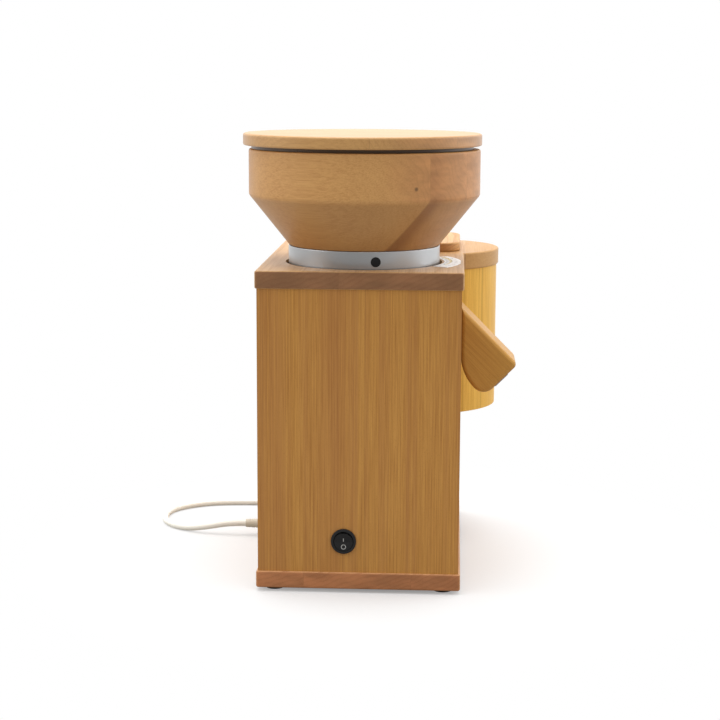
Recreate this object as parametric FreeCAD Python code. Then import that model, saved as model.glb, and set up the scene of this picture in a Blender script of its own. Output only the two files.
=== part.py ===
import FreeCAD, Part
import math
import os

os.makedirs("parts", exist_ok=True)

# Electric grain mill with a flaker side, in millimetres.
# X points to the front where the spout is, Y from the near side to the far side, Z up.
# Everything is drawn about the mill's upright axis on the floor and moved to the row's origin at the end.

# Casing
board_length = 186.0        # front to rear
board_depth = 300.0         # near side to far side
casing_height = 294.0       # floor to the top of the top board
top_board_thickness = 16.0
base_board_thickness = 15.5
foot_height = 3.5
foot_radius = 9.0
foot_inset = 16.0
foot_chamfer = 0.8
wall_thickness = 12.0
wall_inset = 1.8            # how far the walls stand back from the board edges
post_side = 14.0
board_edge_radius = 1.6
board_corner_radius = 2.4

vent_width = 8.0            # air slots in the base board under the motor
vent_pitch = 18.0
vent_length = 84.0
vents = 5

# Flaker lobe
lobe_radius = 80.0
lobe_centre_back = 44.5     # lobe centre behind the front edge of the board
lobe_drop = 158.0           # top of the board down to the underside of the lobe
lobe_wall_thickness = 8.0
lobe_floor_thickness = 10.0

# Hopper, its lid and the adjusting ring
ring_wall = 4.25            # round the chamber's thread
ring_show = 16.0            # ring height seen above the board
ring_plate = 6.0
ring_skirt_drop = 12.0      # skirt depth below the board's top face
ring_hole_play = 2.7
throat_radius = 24.0
plug_radius = 4.5
plug_angle = -78.6          # degrees about the mill axis from the front
plug_height = 6.72          # plug centre above the board
plug_length = 3.0
plug_sunk = 2.6
plug_seat_length = 12.0
ring_round = 0.8
bowl_radius = 106.8
bowl_wall = 9.0
bowl_knee_height = 46.5     # knee above the ring
bowl_rim_height = 88.4      # rim above the ring
bowl_foot_step = 0.8        # foot inside the ring's edge
bowl_belly = 0.5            # swelling of the upper wall
bowl_foot_round = 3.0
bowl_knee_round = 5.0
bowl_rim_round = 1.8
bowl_floor = 7.0            # wood above the ring at the throat
bowl_inner_drop = 3.6       # inner knee below the outer knee
lid_overhang = 3.2
lid_thickness = 11.0
lid_step_inset = 4.4        # step inside the bowl's outside
lid_step = 3.3
lid_plug_play = 2.8
lid_plug_depth = 5.0
lid_shift = 2.0             # the lid lies a little to the rear
lid_round = 2.0

# Grinding chamber and stones
chamber_radius = 60.0
chamber_wall = 6.0
chamber_depth = 58.0        # board top down to the chamber floor
chamber_floor = 8.0
chamber_top_drop = 2.0      # chamber rim below the board's top face
seal_radius = 13.0
seal_play = 0.3
seal_inset = 1.0            # felt inside the faces of the chamber floor
thread_clearance = 0.05
flange_thickness = 5.0
flange_play = 1.0           # flange inside the board's hole
flange_gap = 2.2            # flange to the near wall
ear_offset = 6.0            # ear screws outside the board's hole
ear_radius = 6.5
stone_margin = 10.0         # stones inside the chamber's wall
stone_thickness = 18.0
upper_stone_thickness = 22.0
stone_gap = 0.5
stone_eye = 14.0
stone_play = 0.2
eye_flare_width = 8.0       # the upper stone's eye widens towards the gap
eye_flare_depth = 4.0
lower_stone_lift = 8.0      # lower stone above the chamber floor
carrier_lift = 2.0          # lower carrier above the chamber floor
carrier_step = 4.0          # lower carrier inside the stone's edge
hub_play = 0.5
hub_drop = 6.0              # hub's and shaft's end below the grinding face
paddles = 4
paddle_width = 6.0
paddle_root = 10.0          # paddle's inner end inside the stone's edge
paddle_play = 1.5           # paddle to the chamber's wall and floor
carrier_plate = 6.5
carrier_rim = 5.0
throat_wall = 6.0
carrier_clearance = 0.3
lug_width = 7.8             # the lugs that keep the upper stone from turning
lug_depth = 3.0
lug_drop = 2.0
lug_travel = 1.0            # room below the lugs

# Motor
motor_radius = 54.0
motor_wall = 4.0
motor_length = 148.0
motor_end_plate = 12.0
motor_mounting_plate = 10.0
motor_holes = 6             # air holes in the end plate
motor_hole_radius = 4.0
motor_hole_circle = 35.0
motor_hole_turn = 15.0
winding_step = 3.0
winding_overhang = 9.0
rotor_height = 42.0         # rotor core above the motor's end
shaft_overhang = 2.0
shaft_radius = 6.0
rotor_radius = 30.0
rotor_length = 70.0
air_gap = 0.6
bearing_radius = 16.0
bearing_width = 10.0
fan_radius = 44.0
fan_blades = 9
fan_hub_radius = 12.0
fan_height = 16.0           # fan above the motor's end
fan_width = 12.0
fan_plate = 1.5
fan_overlap = 1.0
blade_thickness = 1.8
capacitor_x = -55.0
capacitor_y = 66.0
capacitor_radius = 16.0
capacitor_length = 64.0
tab_spacing = 10.0
tab_width = 4.0
tab_thickness = 1.0
tab_length = 8.0
clip_wall = 2.0
clip_height = 10.0
clip_foot = 48.0
terminal_rear = -66.0
terminal_y = 104.0
terminal_length = 44.0
terminal_depth = 18.0
terminal_base = 9.0
terminal_block_height = 7.0
terminal_blocks = 4
terminal_inset = 1.5
terminal_pitch = 11.0
terminal_block_length = 8.0
terminal_step = 2.0
running_clearance = 0.05

# Spout
spout_angle = 45.0          # degrees below level
outlet_height = 12.53375    # chamber floor up to the spout's axis at the chamber's outside
spout_reach = 49.0          # tip in front of the board
spout_thickness = 44.5
spout_width = 48.0
spout_tip_radius = 5.0
spout_heel_radius = 12.0
spout_edge_radius = 4.0
liner_width = 24.0
liner_height = 16.0
liner_wall = 1.5
liner_proud = 1.8
channel_over = 20.0         # cutters run past the face that they open

# Scale beside the ring
scale_gap = 2.0             # scale outside the board's hole
scale_width = 15.5
scale_half_angle = 31.0
scale_thickness = 0.4
scale_edge_gap = 3.0        # scale to the board's front edge

# Flaker
flaker_lid_side = 122.0
flaker_lid_corner = 22.0
flaker_lid_thickness = 9.0
flaker_lid_back = 3.4       # lid behind the board's front edge
flaker_lid_y_shift = 2.3    # lid centre beyond the lobe centre
flaker_lid_plug = 7.0
flaker_lid_round = 1.8
inlet_rear = 103.0          # flaker inlet's rear edge behind the board's front edge
inlet_front = 21.0
inlet_half_width = 33.0
inlet_play = 1.0
funnel_wall = 1.5
funnel_mouth = 14.0
roller_radius = 16.0
roller_gap = 0.4
roller_length = 70.0
roller_drop = 69.0          # top of the board down to the rollers' axes
roller_back = 33.0          # roller pair behind the board's front edge
roller_shaft_radius = 5.0
side_plate = 5.0
side_plate_gap = 1.0
frame_margin = 2.0          # side plates past the gear motor
frame_front = 3.0           # side plates in front of the board
frame_lip = 10.0
frame_lip_thickness = 3.0
tie_radius = 3.0
tie_drop = 16.0
tie_rear_inset = 8.0
tie_front_inset = 6.0
bush_radius = 8.0
roller_teeth = 24
wheel_teeth = 60
pinion_teeth = 12
gear_width = 4.2
gear_step = 0.6
gear_gap = 0.8              # side plate to the first gear
backlash = 0.16
pinion_angle = 210.0        # degrees about the drive roller, in the upright plane
flaker_motor_radius = 25.0
motor_plate_gap = 0.5
motor_shaft_radius = 4.0
motor_shaft_sunk = 8.0
motor_shaft_end_play = 0.3
motor_hole = 6.0            # hole for the motor's shaft in the side plate
pinion_bore = 2.0
roller_shaft_over = 2.0     # shafts past the near side plate
roller_shaft_end = 0.5
chute_wall = 1.5
chute_half_width = 34.0
chute_drive_side = 9.0      # chute's mouth past each roller's axis
chute_driven_side = 10.0
sheet_gap = 1.0             # funnel and chute to the rollers and the lid
chute_bend = 2.0            # chute's bend above the lobe floor
chute_end = 2.0             # chute's end below the lobe
outlet_rear = 2.3           # flake outlet's rear edge in front of the wall
outlet_length = 16.0
outlet_half_width = 25.0

# Switches
switch_barrel_radius = 9.9
bezel_lip = 1.6
switch_x = -13.0
switch_height = 48.2
rocker_wall = 1.3
rocker_tilt = 8.0
bezel_height = 2.2
bezel_round = 0.7
barrel_length = 24.0
rocker_well = 6.0
rocker_play = 0.55
rocker_crown = 2.6          # rocker's rims in front of the wall
rocker_dip = 1.5            # rocker's middle in front of the wall
rocker_depth = 4.0
rocker_root_share = 0.72
rocker_pivot = 1.0          # pivot behind the wall's face
blade_spacing = 8.0
blade_width = 6.4
blade_half_thickness = 0.4
blade_length = 8.0

# Screws
screw_radius = 1.9
screw_head_radius = 3.6
screw_head = 2.4
base_screw_length = 24.0
housing_screw_length = 14.0

# Mains lead
cord_radius = 3.25
cord_exit_y = 102.0
cord_exit_height = 12.5
relief_length = 30.0
relief_root = 5.5
relief_tip = 4.1
relief_flange = 6.4
relief_stem = 4.5
relief_stem_gap = 4.0       # stem's end to the end of the bore
relief_plate = 2.0
relief_grooves = 5
relief_first_groove = 8.0
relief_groove_pitch = 4.5
relief_groove_width = 1.4
relief_groove_height = 3.4  # groove's floor from the lead's middle
cord_bore = 22.0            # depth of the lead's bore in the base board
cord_pocket_radius = 7.0
cord_pocket_floor = 3.5
coil_outer = 47.5
coil_step = 7.0
coil_turns = 2.75
coil_centre_x = -62.0
coil_centre_y = 272.0
plug_body_radius = 18.5
plug_body_length = 26.0
plug_body_start = 20.0      # from the lead's end
plug_body_round = 2.0
plug_neck_radius = 6.5
plug_neck_length = 14.0
plug_neck_play = 0.6
plug_shoulder_start = 13.0
plug_shoulder_length = 8.0
plug_shoulder_step = 3.5
plug_notch_start = 32.0
plug_notch_width = 8.0
plug_notch_depth = 1.5
plug_from_coil_x = 86.0
plug_from_coil_y = 18.0
pin_radius = 2.4
pin_length = 19.0
pin_spacing = 19.0

# Sizes and places worked out from the sizes above
housing_radius = chamber_radius + chamber_wall
ring_radius = housing_radius + thread_clearance + ring_wall
ring_hole_radius = ring_radius + ring_hole_play
bowl_foot_radius = ring_radius - bowl_foot_step
lid_radius = bowl_radius + lid_overhang
lid_step_radius = bowl_radius - lid_step_inset
lid_plug_radius = bowl_radius - bowl_wall - lid_plug_play
flange_radius = ring_hole_radius - flange_play
near_edge = wall_inset + wall_thickness + flange_radius + flange_gap
ear_circle = ring_hole_radius + ear_offset
stone_radius = chamber_radius - stone_margin
scale_inner = ring_hole_radius + scale_gap
scale_outer = scale_inner + scale_width
lobe_bottom = casing_height - lobe_drop
roller_height = casing_height - roller_drop
roller_offset = roller_radius + roller_gap / 2
gear_module = 2 * roller_offset / roller_teeth
switch_bezel_radius = switch_barrel_radius + bezel_lip
rocker_radius = switch_barrel_radius - rocker_wall
x_front = board_length / 2
x_rear = -x_front
y_near = -near_edge
y_far = board_depth - near_edge
z_base_bottom = foot_height
z_floor = z_base_bottom + base_board_thickness
z_top = casing_height
z_ceiling = z_top - top_board_thickness
wall_front = x_front - wall_inset
wall_rear = x_rear + wall_inset
wall_near = y_near + wall_inset
wall_far = y_far - wall_inset
inside_front = wall_front - wall_thickness
inside_rear = wall_rear + wall_thickness
inside_near = wall_near + wall_thickness
inside_far = wall_far - wall_thickness
lobe_x = x_front - lobe_centre_back
lobe_y = y_far - math.sqrt(lobe_radius ** 2 - lobe_centre_back ** 2)
lobe_outer = lobe_radius - wall_inset
lobe_inner = lobe_outer - lobe_wall_thickness
z_ring_top = z_top + ring_show
z_rim = z_ring_top + bowl_rim_height
z_lid = z_rim + lid_step
spout_tip_x = x_front + spout_reach
origin_x = (spout_tip_x - lid_radius - lid_shift) / 2
origin_y = (y_far - lid_radius) / 2


def point(x, y, z):
    return FreeCAD.Vector(x, y, z)


UP = point(0, 0, 1)
ALONG_X = point(1, 0, 0)
ALONG_Y = point(0, 1, 0)


def block(x0, x1, y0, y1, z0, z1):
    return Part.makeBox(x1 - x0, y1 - y0, z1 - z0, point(x0, y0, z0))


def disc(radius, z0, z1, x=0.0, y=0.0):
    return Part.makeCylinder(radius, z1 - z0, point(x, y, z0))


def bar(radius, y0, y1, x, z):
    """A round bar along Y."""
    return Part.makeCylinder(radius, y1 - y0, point(x, y0, z), ALONG_Y)


def ring(outer, inner, z0, z1, x=0.0, y=0.0):
    return disc(outer, z0, z1, x, y).cut(disc(inner, z0, z1, x, y))


def turned(corners, x=0.0, y=0.0):
    """A turned solid about an upright axis, from (radius, height) corners."""
    points = [point(r, 0, z) for r, z in corners]
    face = Part.Face(Part.makePolygon(points + points[:1]))
    solid = face.revolve(point(0, 0, 0), UP, 360)
    solid.translate(point(x, y, 0))
    return solid


def tangent_arc(before, corner, after, radius):
    """The arc that rounds a corner between two straight runs, with its two ends."""
    one = (before - corner).normalize()
    two = (after - corner).normalize()
    half = one.getAngle(two) / 2
    reach = radius / math.tan(half)
    middle = (one + two).normalize()
    start = corner + one * reach
    end = corner + two * reach
    top = corner + middle * (radius / math.sin(half) - radius)
    return start, top, end


def rounded_outline(corners, radii):
    """A closed wire through corners, each rounded by its own radius or left sharp at 0."""
    count = len(corners)
    ends = []
    for i in range(count):
        if radii[i] > 0:
            ends.append(tangent_arc(corners[i - 1], corners[i], corners[(i + 1) % count], radii[i]))
        else:
            ends.append((corners[i], None, corners[i]))
    edges = []
    for i in range(count):
        start, top, end = ends[i]
        if top is not None:
            edges.append(Part.Arc(start, top, end).toShape())
        following = ends[(i + 1) % count][0]
        if (following - end).Length > 1e-6:
            edges.append(Part.LineSegment(end, following).toShape())
    return Part.Wire(edges)


def rounded_block(x0, x1, y0, y1, z0, z1, radius):
    corners = [point(x0, y0, z0), point(x1, y0, z0), point(x1, y1, z0), point(x0, y1, z0)]
    outline = rounded_outline(corners, [radius] * 4)
    return Part.Face(outline).extrude(point(0, 0, z1 - z0))


def level_edges(solid, height):
    """The edges of a solid that lie level at one height."""
    found = []
    for edge in solid.Edges:
        box = edge.BoundBox
        if abs(box.ZMin - height) < 1e-4 and abs(box.ZMax - height) < 1e-4:
            found.append(edge)
    return found


def upright_edges(solid):
    return [e for e in solid.Edges if e.BoundBox.XLength < 1e-4 and e.BoundBox.YLength < 1e-4]


def save(name, shapes):
    """Writes one node, moved to the row's origin."""
    solids = shapes if isinstance(shapes, list) else [shapes]
    moved = []
    for shape in solids:
        copy = shape.copy()
        copy.translate(point(-origin_x, -origin_y, 0))
        moved.extend(copy.Solids)
    whole = moved[0] if len(moved) == 1 else Part.makeCompound(moved)
    if not whole.isValid():
        print("not valid:", name)
    whole.exportStep("parts/" + name + ".step")


# Screws


def screw(x, y, z, length):
    """An upright screw whose head starts at a height, pointing up."""
    head = disc(screw_head_radius, z, z + screw_head, x, y)
    return head.fuse(disc(screw_radius, z + screw_head, z + screw_head + length, x, y)).removeSplitter()


def base_screws():
    """Screws up through the base board into the corner posts, sunk flush."""
    screws = []
    for x in (inside_rear + post_side / 2, inside_front - post_side / 2):
        for y in (inside_near + post_side / 2, inside_far - post_side / 2):
            screws.append(screw(x, y, z_base_bottom, base_screw_length))
    return screws


def ear_places(radius):
    turns = [math.radians(a) for a in (45, 135, 225, 315)]
    return [(radius * math.cos(a), radius * math.sin(a)) for a in turns]


def housing_screws():
    """Screws up through the chamber's ears into the top board."""
    z = z_ceiling - flange_thickness - screw_head
    return [screw(x, y, z, housing_screw_length) for x, y in ear_places(ear_circle)]


def cut_all(solid, tools):
    for tool in tools:
        solid = solid.cut(tool)
    return solid


def screws():
    save("base_screws", base_screws())
    save("housing_screws", housing_screws())


# Casing


def casing_boards():
    """Top board with the cap of the lobe and its two holes, and the base board."""
    top = block(x_rear, x_front, y_near, y_far, z_ceiling, z_top)
    cap = disc(lobe_radius, z_ceiling, z_top, lobe_x, lobe_y)
    beyond = block(x_rear, x_front + lobe_radius, y_far, y_far + lobe_radius, z_ceiling, z_top)
    top = top.fuse(cap.cut(beyond)).removeSplitter()
    top = top.makeFillet(board_corner_radius, upright_edges(top))
    edges = level_edges(top, z_top) + level_edges(top, z_ceiling)
    top = top.makeFillet(board_edge_radius, edges)
    top = top.cut(disc(ring_hole_radius, z_ceiling, z_top))
    top = top.cut(flaker_inlet(z_ceiling, z_top))
    save("top_board", cut_all(top, housing_screws()))

    base = block(x_rear, x_front, y_near, y_far, z_base_bottom, z_floor)
    base = base.makeFillet(board_corner_radius, upright_edges(base))
    edges = level_edges(base, z_floor) + level_edges(base, z_base_bottom)
    base = base.makeFillet(board_edge_radius, edges)
    for i in range(vents):
        slot_x = (i - (vents - 1) / 2) * vent_pitch
        base = base.cut(block(slot_x - vent_width / 2, slot_x + vent_width / 2,
                              -vent_length / 2, vent_length / 2, z_base_bottom, z_floor))
    place = point(x_rear, cord_exit_y, cord_exit_height)
    base = base.cut(Part.makeCylinder(relief_stem, cord_bore, place, ALONG_X))
    base = base.cut(disc(cord_pocket_radius, z_base_bottom + cord_pocket_floor, z_floor,
                         x_rear + cord_bore, cord_exit_y))
    save("base_board", cut_all(base, base_screws()))


def flaker_inlet(z0, z1, play=0.0):
    return block(x_front - inlet_rear + play, x_front - inlet_front - play,
                 lobe_y - inlet_half_width + play, lobe_y + inlet_half_width - play, z0, z1)


def liner_frame(across, thick, start, end):
    """A slanted box along the spout's axis, measured along it from the board's front plane."""
    box = Part.makeBox(end - start, across, thick, point(start, -across / 2, -thick / 2))
    box.rotate(point(0, 0, 0), ALONG_Y, spout_angle)
    box.translate(point(x_front, 0, spout_axis_height))
    return box


slope = math.radians(spout_angle)
outlet_run = (x_front - housing_radius) / math.cos(slope)
spout_axis_height = z_top - chamber_depth + outlet_height - outlet_run * math.sin(slope)
spout_top_height = spout_axis_height + spout_thickness / 2 / math.cos(slope)
tip_half = (math.pi / 2) / 2
tip_corner_x = spout_tip_x + spout_tip_radius * (1 / math.sin(tip_half) - 1) * math.cos(slope - tip_half)
spout_run = (tip_corner_x - x_front) / math.cos(slope) - spout_thickness / 2 * math.tan(slope)


def walls():
    """Near, far, rear and front panels, the half-round lobe wall with its floor, and the corner posts."""
    near = block(wall_rear, wall_front, wall_near, inside_near, z_floor, z_ceiling)
    near = near.cut(bar(switch_barrel_radius, wall_near, inside_near, switch_x, switch_height))
    save("near_wall", near)
    far = block(wall_rear, wall_front, inside_far, wall_far, z_floor, z_ceiling)
    far = far.cut(bar(switch_barrel_radius, inside_far, wall_far, switch_x, switch_height))
    save("far_wall", far)
    save("rear_wall", block(wall_rear, inside_rear, inside_near, inside_far, z_floor, z_ceiling))

    front = block(inside_front, wall_front, inside_near, inside_far, z_floor, z_ceiling)
    meeting = lobe_y - math.sqrt(lobe_inner ** 2 - (wall_front - lobe_x) ** 2)
    front = front.cut(block(inside_front, wall_front, meeting, inside_far,
                            lobe_bottom + lobe_floor_thickness, z_ceiling))
    front = front.cut(liner_frame(liner_width, liner_height, -outlet_run, channel_over))
    save("front_wall", front)

    ahead = block(wall_front, x_front + lobe_radius, y_near, y_far + lobe_radius, 0, z_top)
    save("lobe_wall", ring(lobe_outer, lobe_inner, lobe_bottom, z_ceiling, lobe_x, lobe_y).common(ahead))
    panel = disc(lobe_inner, lobe_bottom, lobe_bottom + lobe_floor_thickness, lobe_x, lobe_y).common(ahead)
    save("lobe_floor", panel.cut(outlet_box(lobe_bottom, lobe_bottom + lobe_floor_thickness, 0.0)))

    posts = []
    for x0 in (inside_rear, inside_front - post_side):
        for y0 in (inside_near, inside_far - post_side):
            height = lobe_bottom if x0 > 0 and y0 > 0 else z_ceiling
            post = block(x0, x0 + post_side, y0, y0 + post_side, z_floor, height)
            posts.append(cut_all(post, base_screws()))
    save("corner_posts", posts)


def feet():
    places = {"foot_rear_near": (x_rear + foot_inset, y_near + foot_inset),
              "foot_front_near": (x_front - foot_inset, y_near + foot_inset),
              "foot_rear_far": (x_rear + foot_inset, y_far - foot_inset),
              "foot_front_far": (x_front - foot_inset, y_far - foot_inset)}
    for name, (x, y) in places.items():
        save(name, turned([(0, foot_height), (foot_radius, foot_height), (foot_radius, foot_chamfer),
                           (foot_radius - foot_chamfer, 0), (0, 0)], x, y))


# Spout and scale


def spout():
    """Slanted block with a rounded heel, its channel and the scale sheet."""
    run = point(math.cos(slope), 0, -math.sin(slope))
    back = point(-math.sin(slope), 0, -math.cos(slope))
    tip = point(tip_corner_x, 0, spout_top_height - (tip_corner_x - x_front) * math.tan(slope))
    heel = tip + back * spout_thickness
    root_top = tip - run * ((tip_corner_x - wall_front) / math.cos(slope))
    tip_start, tip_top, tip_end = tangent_arc(root_top, tip, heel, spout_tip_radius)
    heel_start, heel_top, heel_end = tangent_arc(tip, heel, heel - run * spout_thickness, spout_heel_radius)
    curve = (heel_end.x - wall_front) / (1 - math.sin(slope))
    centre = heel_end - back * curve
    root_low = point(wall_front, 0, centre.z)
    turn = (math.pi / 2 - slope) / 2
    belly = centre + point(-math.cos(turn), 0, -math.sin(turn)) * curve
    edges = [Part.LineSegment(root_top, tip_start).toShape(),
             Part.Arc(tip_start, tip_top, tip_end).toShape(),
             Part.LineSegment(tip_end, heel_start).toShape(),
             Part.Arc(heel_start, heel_top, heel_end).toShape(),
             Part.Arc(heel_end, belly, root_low).toShape(),
             Part.LineSegment(root_low, root_top).toShape()]
    face = Part.Face(Part.Wire(edges))
    face.translate(point(0, -spout_width / 2, 0))
    body = face.extrude(point(0, spout_width, 0))
    rounded = []
    for edge in body.Edges:
        box = edge.BoundBox
        if box.YMax - box.YMin < 1e-4 and box.XMax > wall_front + 1e-3:
            rounded.append(edge)
    body = body.makeFillet(spout_edge_radius, rounded)
    body = body.cut(liner_frame(liner_width, liner_height, -outlet_run, spout_run + channel_over))
    save("spout_block", body)

    liner = liner_frame(liner_width, liner_height, -outlet_run - 2 * channel_over, spout_run + liner_proud)
    bore = liner_frame(liner_width - 2 * liner_wall, liner_height - 2 * liner_wall,
                       -outlet_run - 3 * channel_over, spout_run + channel_over)
    liner = liner.cut(bore).cut(disc(chamber_radius + chamber_wall, 0, z_top))
    save("spout_liner", max(liner.Solids, key=lambda solid: solid.Volume))

    sheet = ring(scale_outer, scale_inner, z_top, z_top + scale_thickness)
    reach = scale_outer * 1.5
    spread = reach * math.tan(math.radians(scale_half_angle))
    wedge = Part.makePolygon([point(0, 0, z_top), point(reach, -spread, z_top),
                              point(reach, spread, z_top), point(0, 0, z_top)])
    sheet = sheet.common(Part.Face(wedge).extrude(point(0, 0, scale_thickness)))
    beyond = block(x_front - scale_edge_gap, reach, -reach, reach, z_top, z_top + scale_thickness)
    save("scale_label", sheet.cut(beyond))


# Grinding unit

z_chamber = z_top - chamber_depth
z_housing = z_chamber - chamber_floor
z_lower_stone = z_chamber + lower_stone_lift
z_stone_face = z_lower_stone + stone_thickness
z_upper_stone = z_stone_face + stone_gap
z_carrier = z_upper_stone + upper_stone_thickness
z_ring_plate = z_ring_top - ring_plate


def grinding_unit():
    """Chamber, stones and their carriers."""
    body = ring(housing_radius, chamber_radius, z_chamber, z_top - chamber_top_drop)
    body = body.fuse(ring(housing_radius, seal_radius, z_housing, z_chamber))
    flange = ring(flange_radius, chamber_radius, z_ceiling - flange_thickness, z_ceiling)
    for x, y in ear_places(ear_circle):
        flange = flange.fuse(disc(ear_radius, z_ceiling - flange_thickness, z_ceiling, x, y))
    for x, y in ear_places(ear_circle):
        flange = flange.cut(disc(screw_radius, z_ceiling - flange_thickness, z_ceiling, x, y))
    body = body.fuse(flange).removeSplitter()
    body = body.cut(liner_frame(liner_width - 2 * liner_wall, liner_height - 2 * liner_wall,
                                -outlet_run - channel_over, -outlet_run + channel_over))
    slots = chamber_radius + lug_depth
    half = lug_width / 2 + carrier_clearance
    body = body.cut(block(-slots, slots, -half, half, z_carrier - lug_drop - lug_travel, z_top))
    save("mill_housing", body)

    save("shaft_seal", ring(seal_radius, shaft_radius + seal_play, z_housing + seal_inset,
                            z_chamber - seal_inset))

    plate = ring(stone_radius - carrier_step, shaft_radius, z_chamber + carrier_lift, z_lower_stone)
    for i in range(paddles):
        paddle = block(stone_radius - paddle_root, chamber_radius - paddle_play, -paddle_width / 2,
                       paddle_width / 2, z_chamber + paddle_play, z_lower_stone)
        paddle.rotate(point(0, 0, 0), UP, 360 * (i + 0.5) / paddles)
        plate = plate.fuse(paddle)
    plate = plate.fuse(ring(stone_eye - hub_play, shaft_radius, z_lower_stone, z_stone_face - hub_drop))
    save("lower_stone_carrier", plate.removeSplitter())
    save("lower_stone", ring(stone_radius, stone_eye, z_lower_stone, z_stone_face))

    upper = turned([(stone_eye, z_upper_stone + eye_flare_depth),
                    (stone_eye + eye_flare_width, z_upper_stone), (stone_radius, z_upper_stone),
                    (stone_radius, z_carrier), (stone_eye, z_carrier)])
    save("upper_stone", upper)
    reach = chamber_radius - carrier_clearance
    z_plate = z_carrier + carrier_plate
    around_stone = stone_radius + stone_play
    carrier = ring(reach, stone_eye, z_carrier, z_plate)
    carrier = carrier.fuse(ring(throat_radius + throat_wall, throat_radius, z_plate,
                                z_ring_plate - carrier_clearance))
    carrier = carrier.fuse(ring(reach, around_stone, z_carrier - carrier_rim, z_carrier))
    lugs = chamber_radius + lug_depth - carrier_clearance
    bridge = block(-lugs, lugs, -lug_width / 2, lug_width / 2, z_carrier - lug_drop, z_plate)
    carrier = carrier.fuse(bridge.cut(disc(around_stone, z_carrier - lug_drop, z_plate)))
    save("upper_stone_carrier", carrier.removeSplitter())


def adjusting_ring():
    """Ring with its skirt round the chamber, and the plug in its rim."""
    z_skirt = z_top - ring_skirt_drop
    body = ring(ring_radius, housing_radius + thread_clearance, z_skirt, z_ring_plate)
    body = body.fuse(ring(ring_radius, throat_radius, z_ring_plate, z_ring_top)).removeSplitter()
    outer_edge = [e for e in level_edges(body, z_ring_top) if e.Length > 2 * math.pi * throat_radius + 1]
    body = body.makeFillet(ring_round, outer_edge)
    place = point(ring_radius - plug_sunk, 0, z_top + plug_height)
    seat = Part.makeCylinder(plug_radius, plug_seat_length, place, ALONG_X)
    seat.rotate(point(0, 0, 0), UP, plug_angle)
    save("adjusting_ring", body.cut(seat))
    knob = Part.makeCylinder(plug_radius, plug_length, place, ALONG_X)
    knob.rotate(point(0, 0, 0), UP, plug_angle)
    save("ring_plug", knob)


# Hopper


def hopper():
    """Turned bowl, and the disc lid with a step and a plug."""
    z_knee = z_ring_top + bowl_knee_height
    z_mid = (z_knee + z_rim) / 2
    inner = bowl_radius - bowl_wall
    rim_cut = bowl_rim_round * (1 - math.sqrt(0.5))

    foot_after = point(bowl_radius, 0, z_knee)
    foot_corner = point(bowl_foot_radius, 0, z_ring_top)
    a, b, c = tangent_arc(point(0, 0, z_ring_top), foot_corner, foot_after, bowl_foot_round)
    outline = [Part.LineSegment(point(throat_radius, 0, z_ring_top), a).toShape(),
               Part.Arc(a, b, c).toShape()]
    d, e, f = tangent_arc(foot_corner, foot_after, point(bowl_radius, 0, z_rim), bowl_knee_round)
    outline.append(Part.LineSegment(c, d).toShape())
    outline.append(Part.Arc(d, e, f).toShape())
    wall_top = point(bowl_radius, 0, z_rim - bowl_rim_round)
    outline.append(Part.Arc(f, point(bowl_radius + bowl_belly, 0, z_mid), wall_top).toShape())
    rim_middle = point(bowl_radius - rim_cut, 0, z_rim - rim_cut)
    rim_end = point(bowl_radius - bowl_rim_round, 0, z_rim)
    outline.append(Part.Arc(wall_top, rim_middle, rim_end).toShape())
    corners = [rim_end, point(inner, 0, z_rim),
               point(inner, 0, z_knee - bowl_inner_drop), point(throat_radius, 0, z_ring_top + bowl_floor),
               point(throat_radius, 0, z_ring_top)]
    for one, two in zip(corners, corners[1:]):
        outline.append(Part.LineSegment(one, two).toShape())
    save("hopper_bowl", Part.Face(Part.Wire(outline)).revolve(point(0, 0, 0), UP, 360))

    lid = disc(lid_radius, z_lid, z_lid + lid_thickness, -lid_shift)
    lid = lid.makeFillet(lid_round, level_edges(lid, z_lid + lid_thickness) + level_edges(lid, z_lid))
    lid = lid.fuse(disc(lid_step_radius, z_rim, z_lid, -lid_shift))
    lid = lid.fuse(disc(lid_plug_radius, z_rim - lid_plug_depth, z_rim, -lid_shift)).removeSplitter()
    save("hopper_lid", lid)


# Motor

z_motor_top = z_housing
z_motor_bottom = z_motor_top - motor_length
motor_inner = motor_radius - motor_wall
z_rotor = z_motor_bottom + rotor_height
z_end_plate = z_motor_bottom + motor_end_plate
z_mounting_plate = z_motor_top - motor_mounting_plate


def motor():
    """Can with its mounting plate, stator, rotor on the mill shaft, fan, bearings and end plate."""
    can = ring(motor_radius, motor_inner, z_end_plate, z_mounting_plate)
    can = can.fuse(ring(motor_radius, bearing_radius, z_mounting_plate, z_motor_top)).removeSplitter()
    save("motor_can", can)
    end = ring(motor_radius, bearing_radius, z_motor_bottom, z_end_plate)
    for i in range(motor_holes):
        hole = disc(motor_hole_radius, z_motor_bottom, z_end_plate, motor_hole_circle)
        hole.rotate(point(0, 0, 0), UP, 360 * i / motor_holes + motor_hole_turn)
        end = end.cut(hole)
    save("motor_end_plate", end)
    stator = ring(motor_inner, rotor_radius + air_gap, z_rotor, z_rotor + rotor_length)
    winding = ring(motor_inner - winding_step, rotor_radius + winding_step, z_rotor - winding_overhang,
                   z_rotor + rotor_length + winding_overhang)
    save("motor_stator", stator.fuse(winding).removeSplitter())
    shaft = disc(shaft_radius, z_motor_bottom - shaft_overhang, z_stone_face - hub_drop)
    core = disc(rotor_radius, z_rotor, z_rotor + rotor_length)
    save("motor_rotor", shaft.fuse(core).removeSplitter())
    save("upper_bearing", ring(bearing_radius, shaft_radius + running_clearance,
                               z_motor_top - bearing_width, z_motor_top))
    save("lower_bearing", ring(bearing_radius, shaft_radius + running_clearance,
                               z_motor_bottom, z_motor_bottom + bearing_width))


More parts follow.
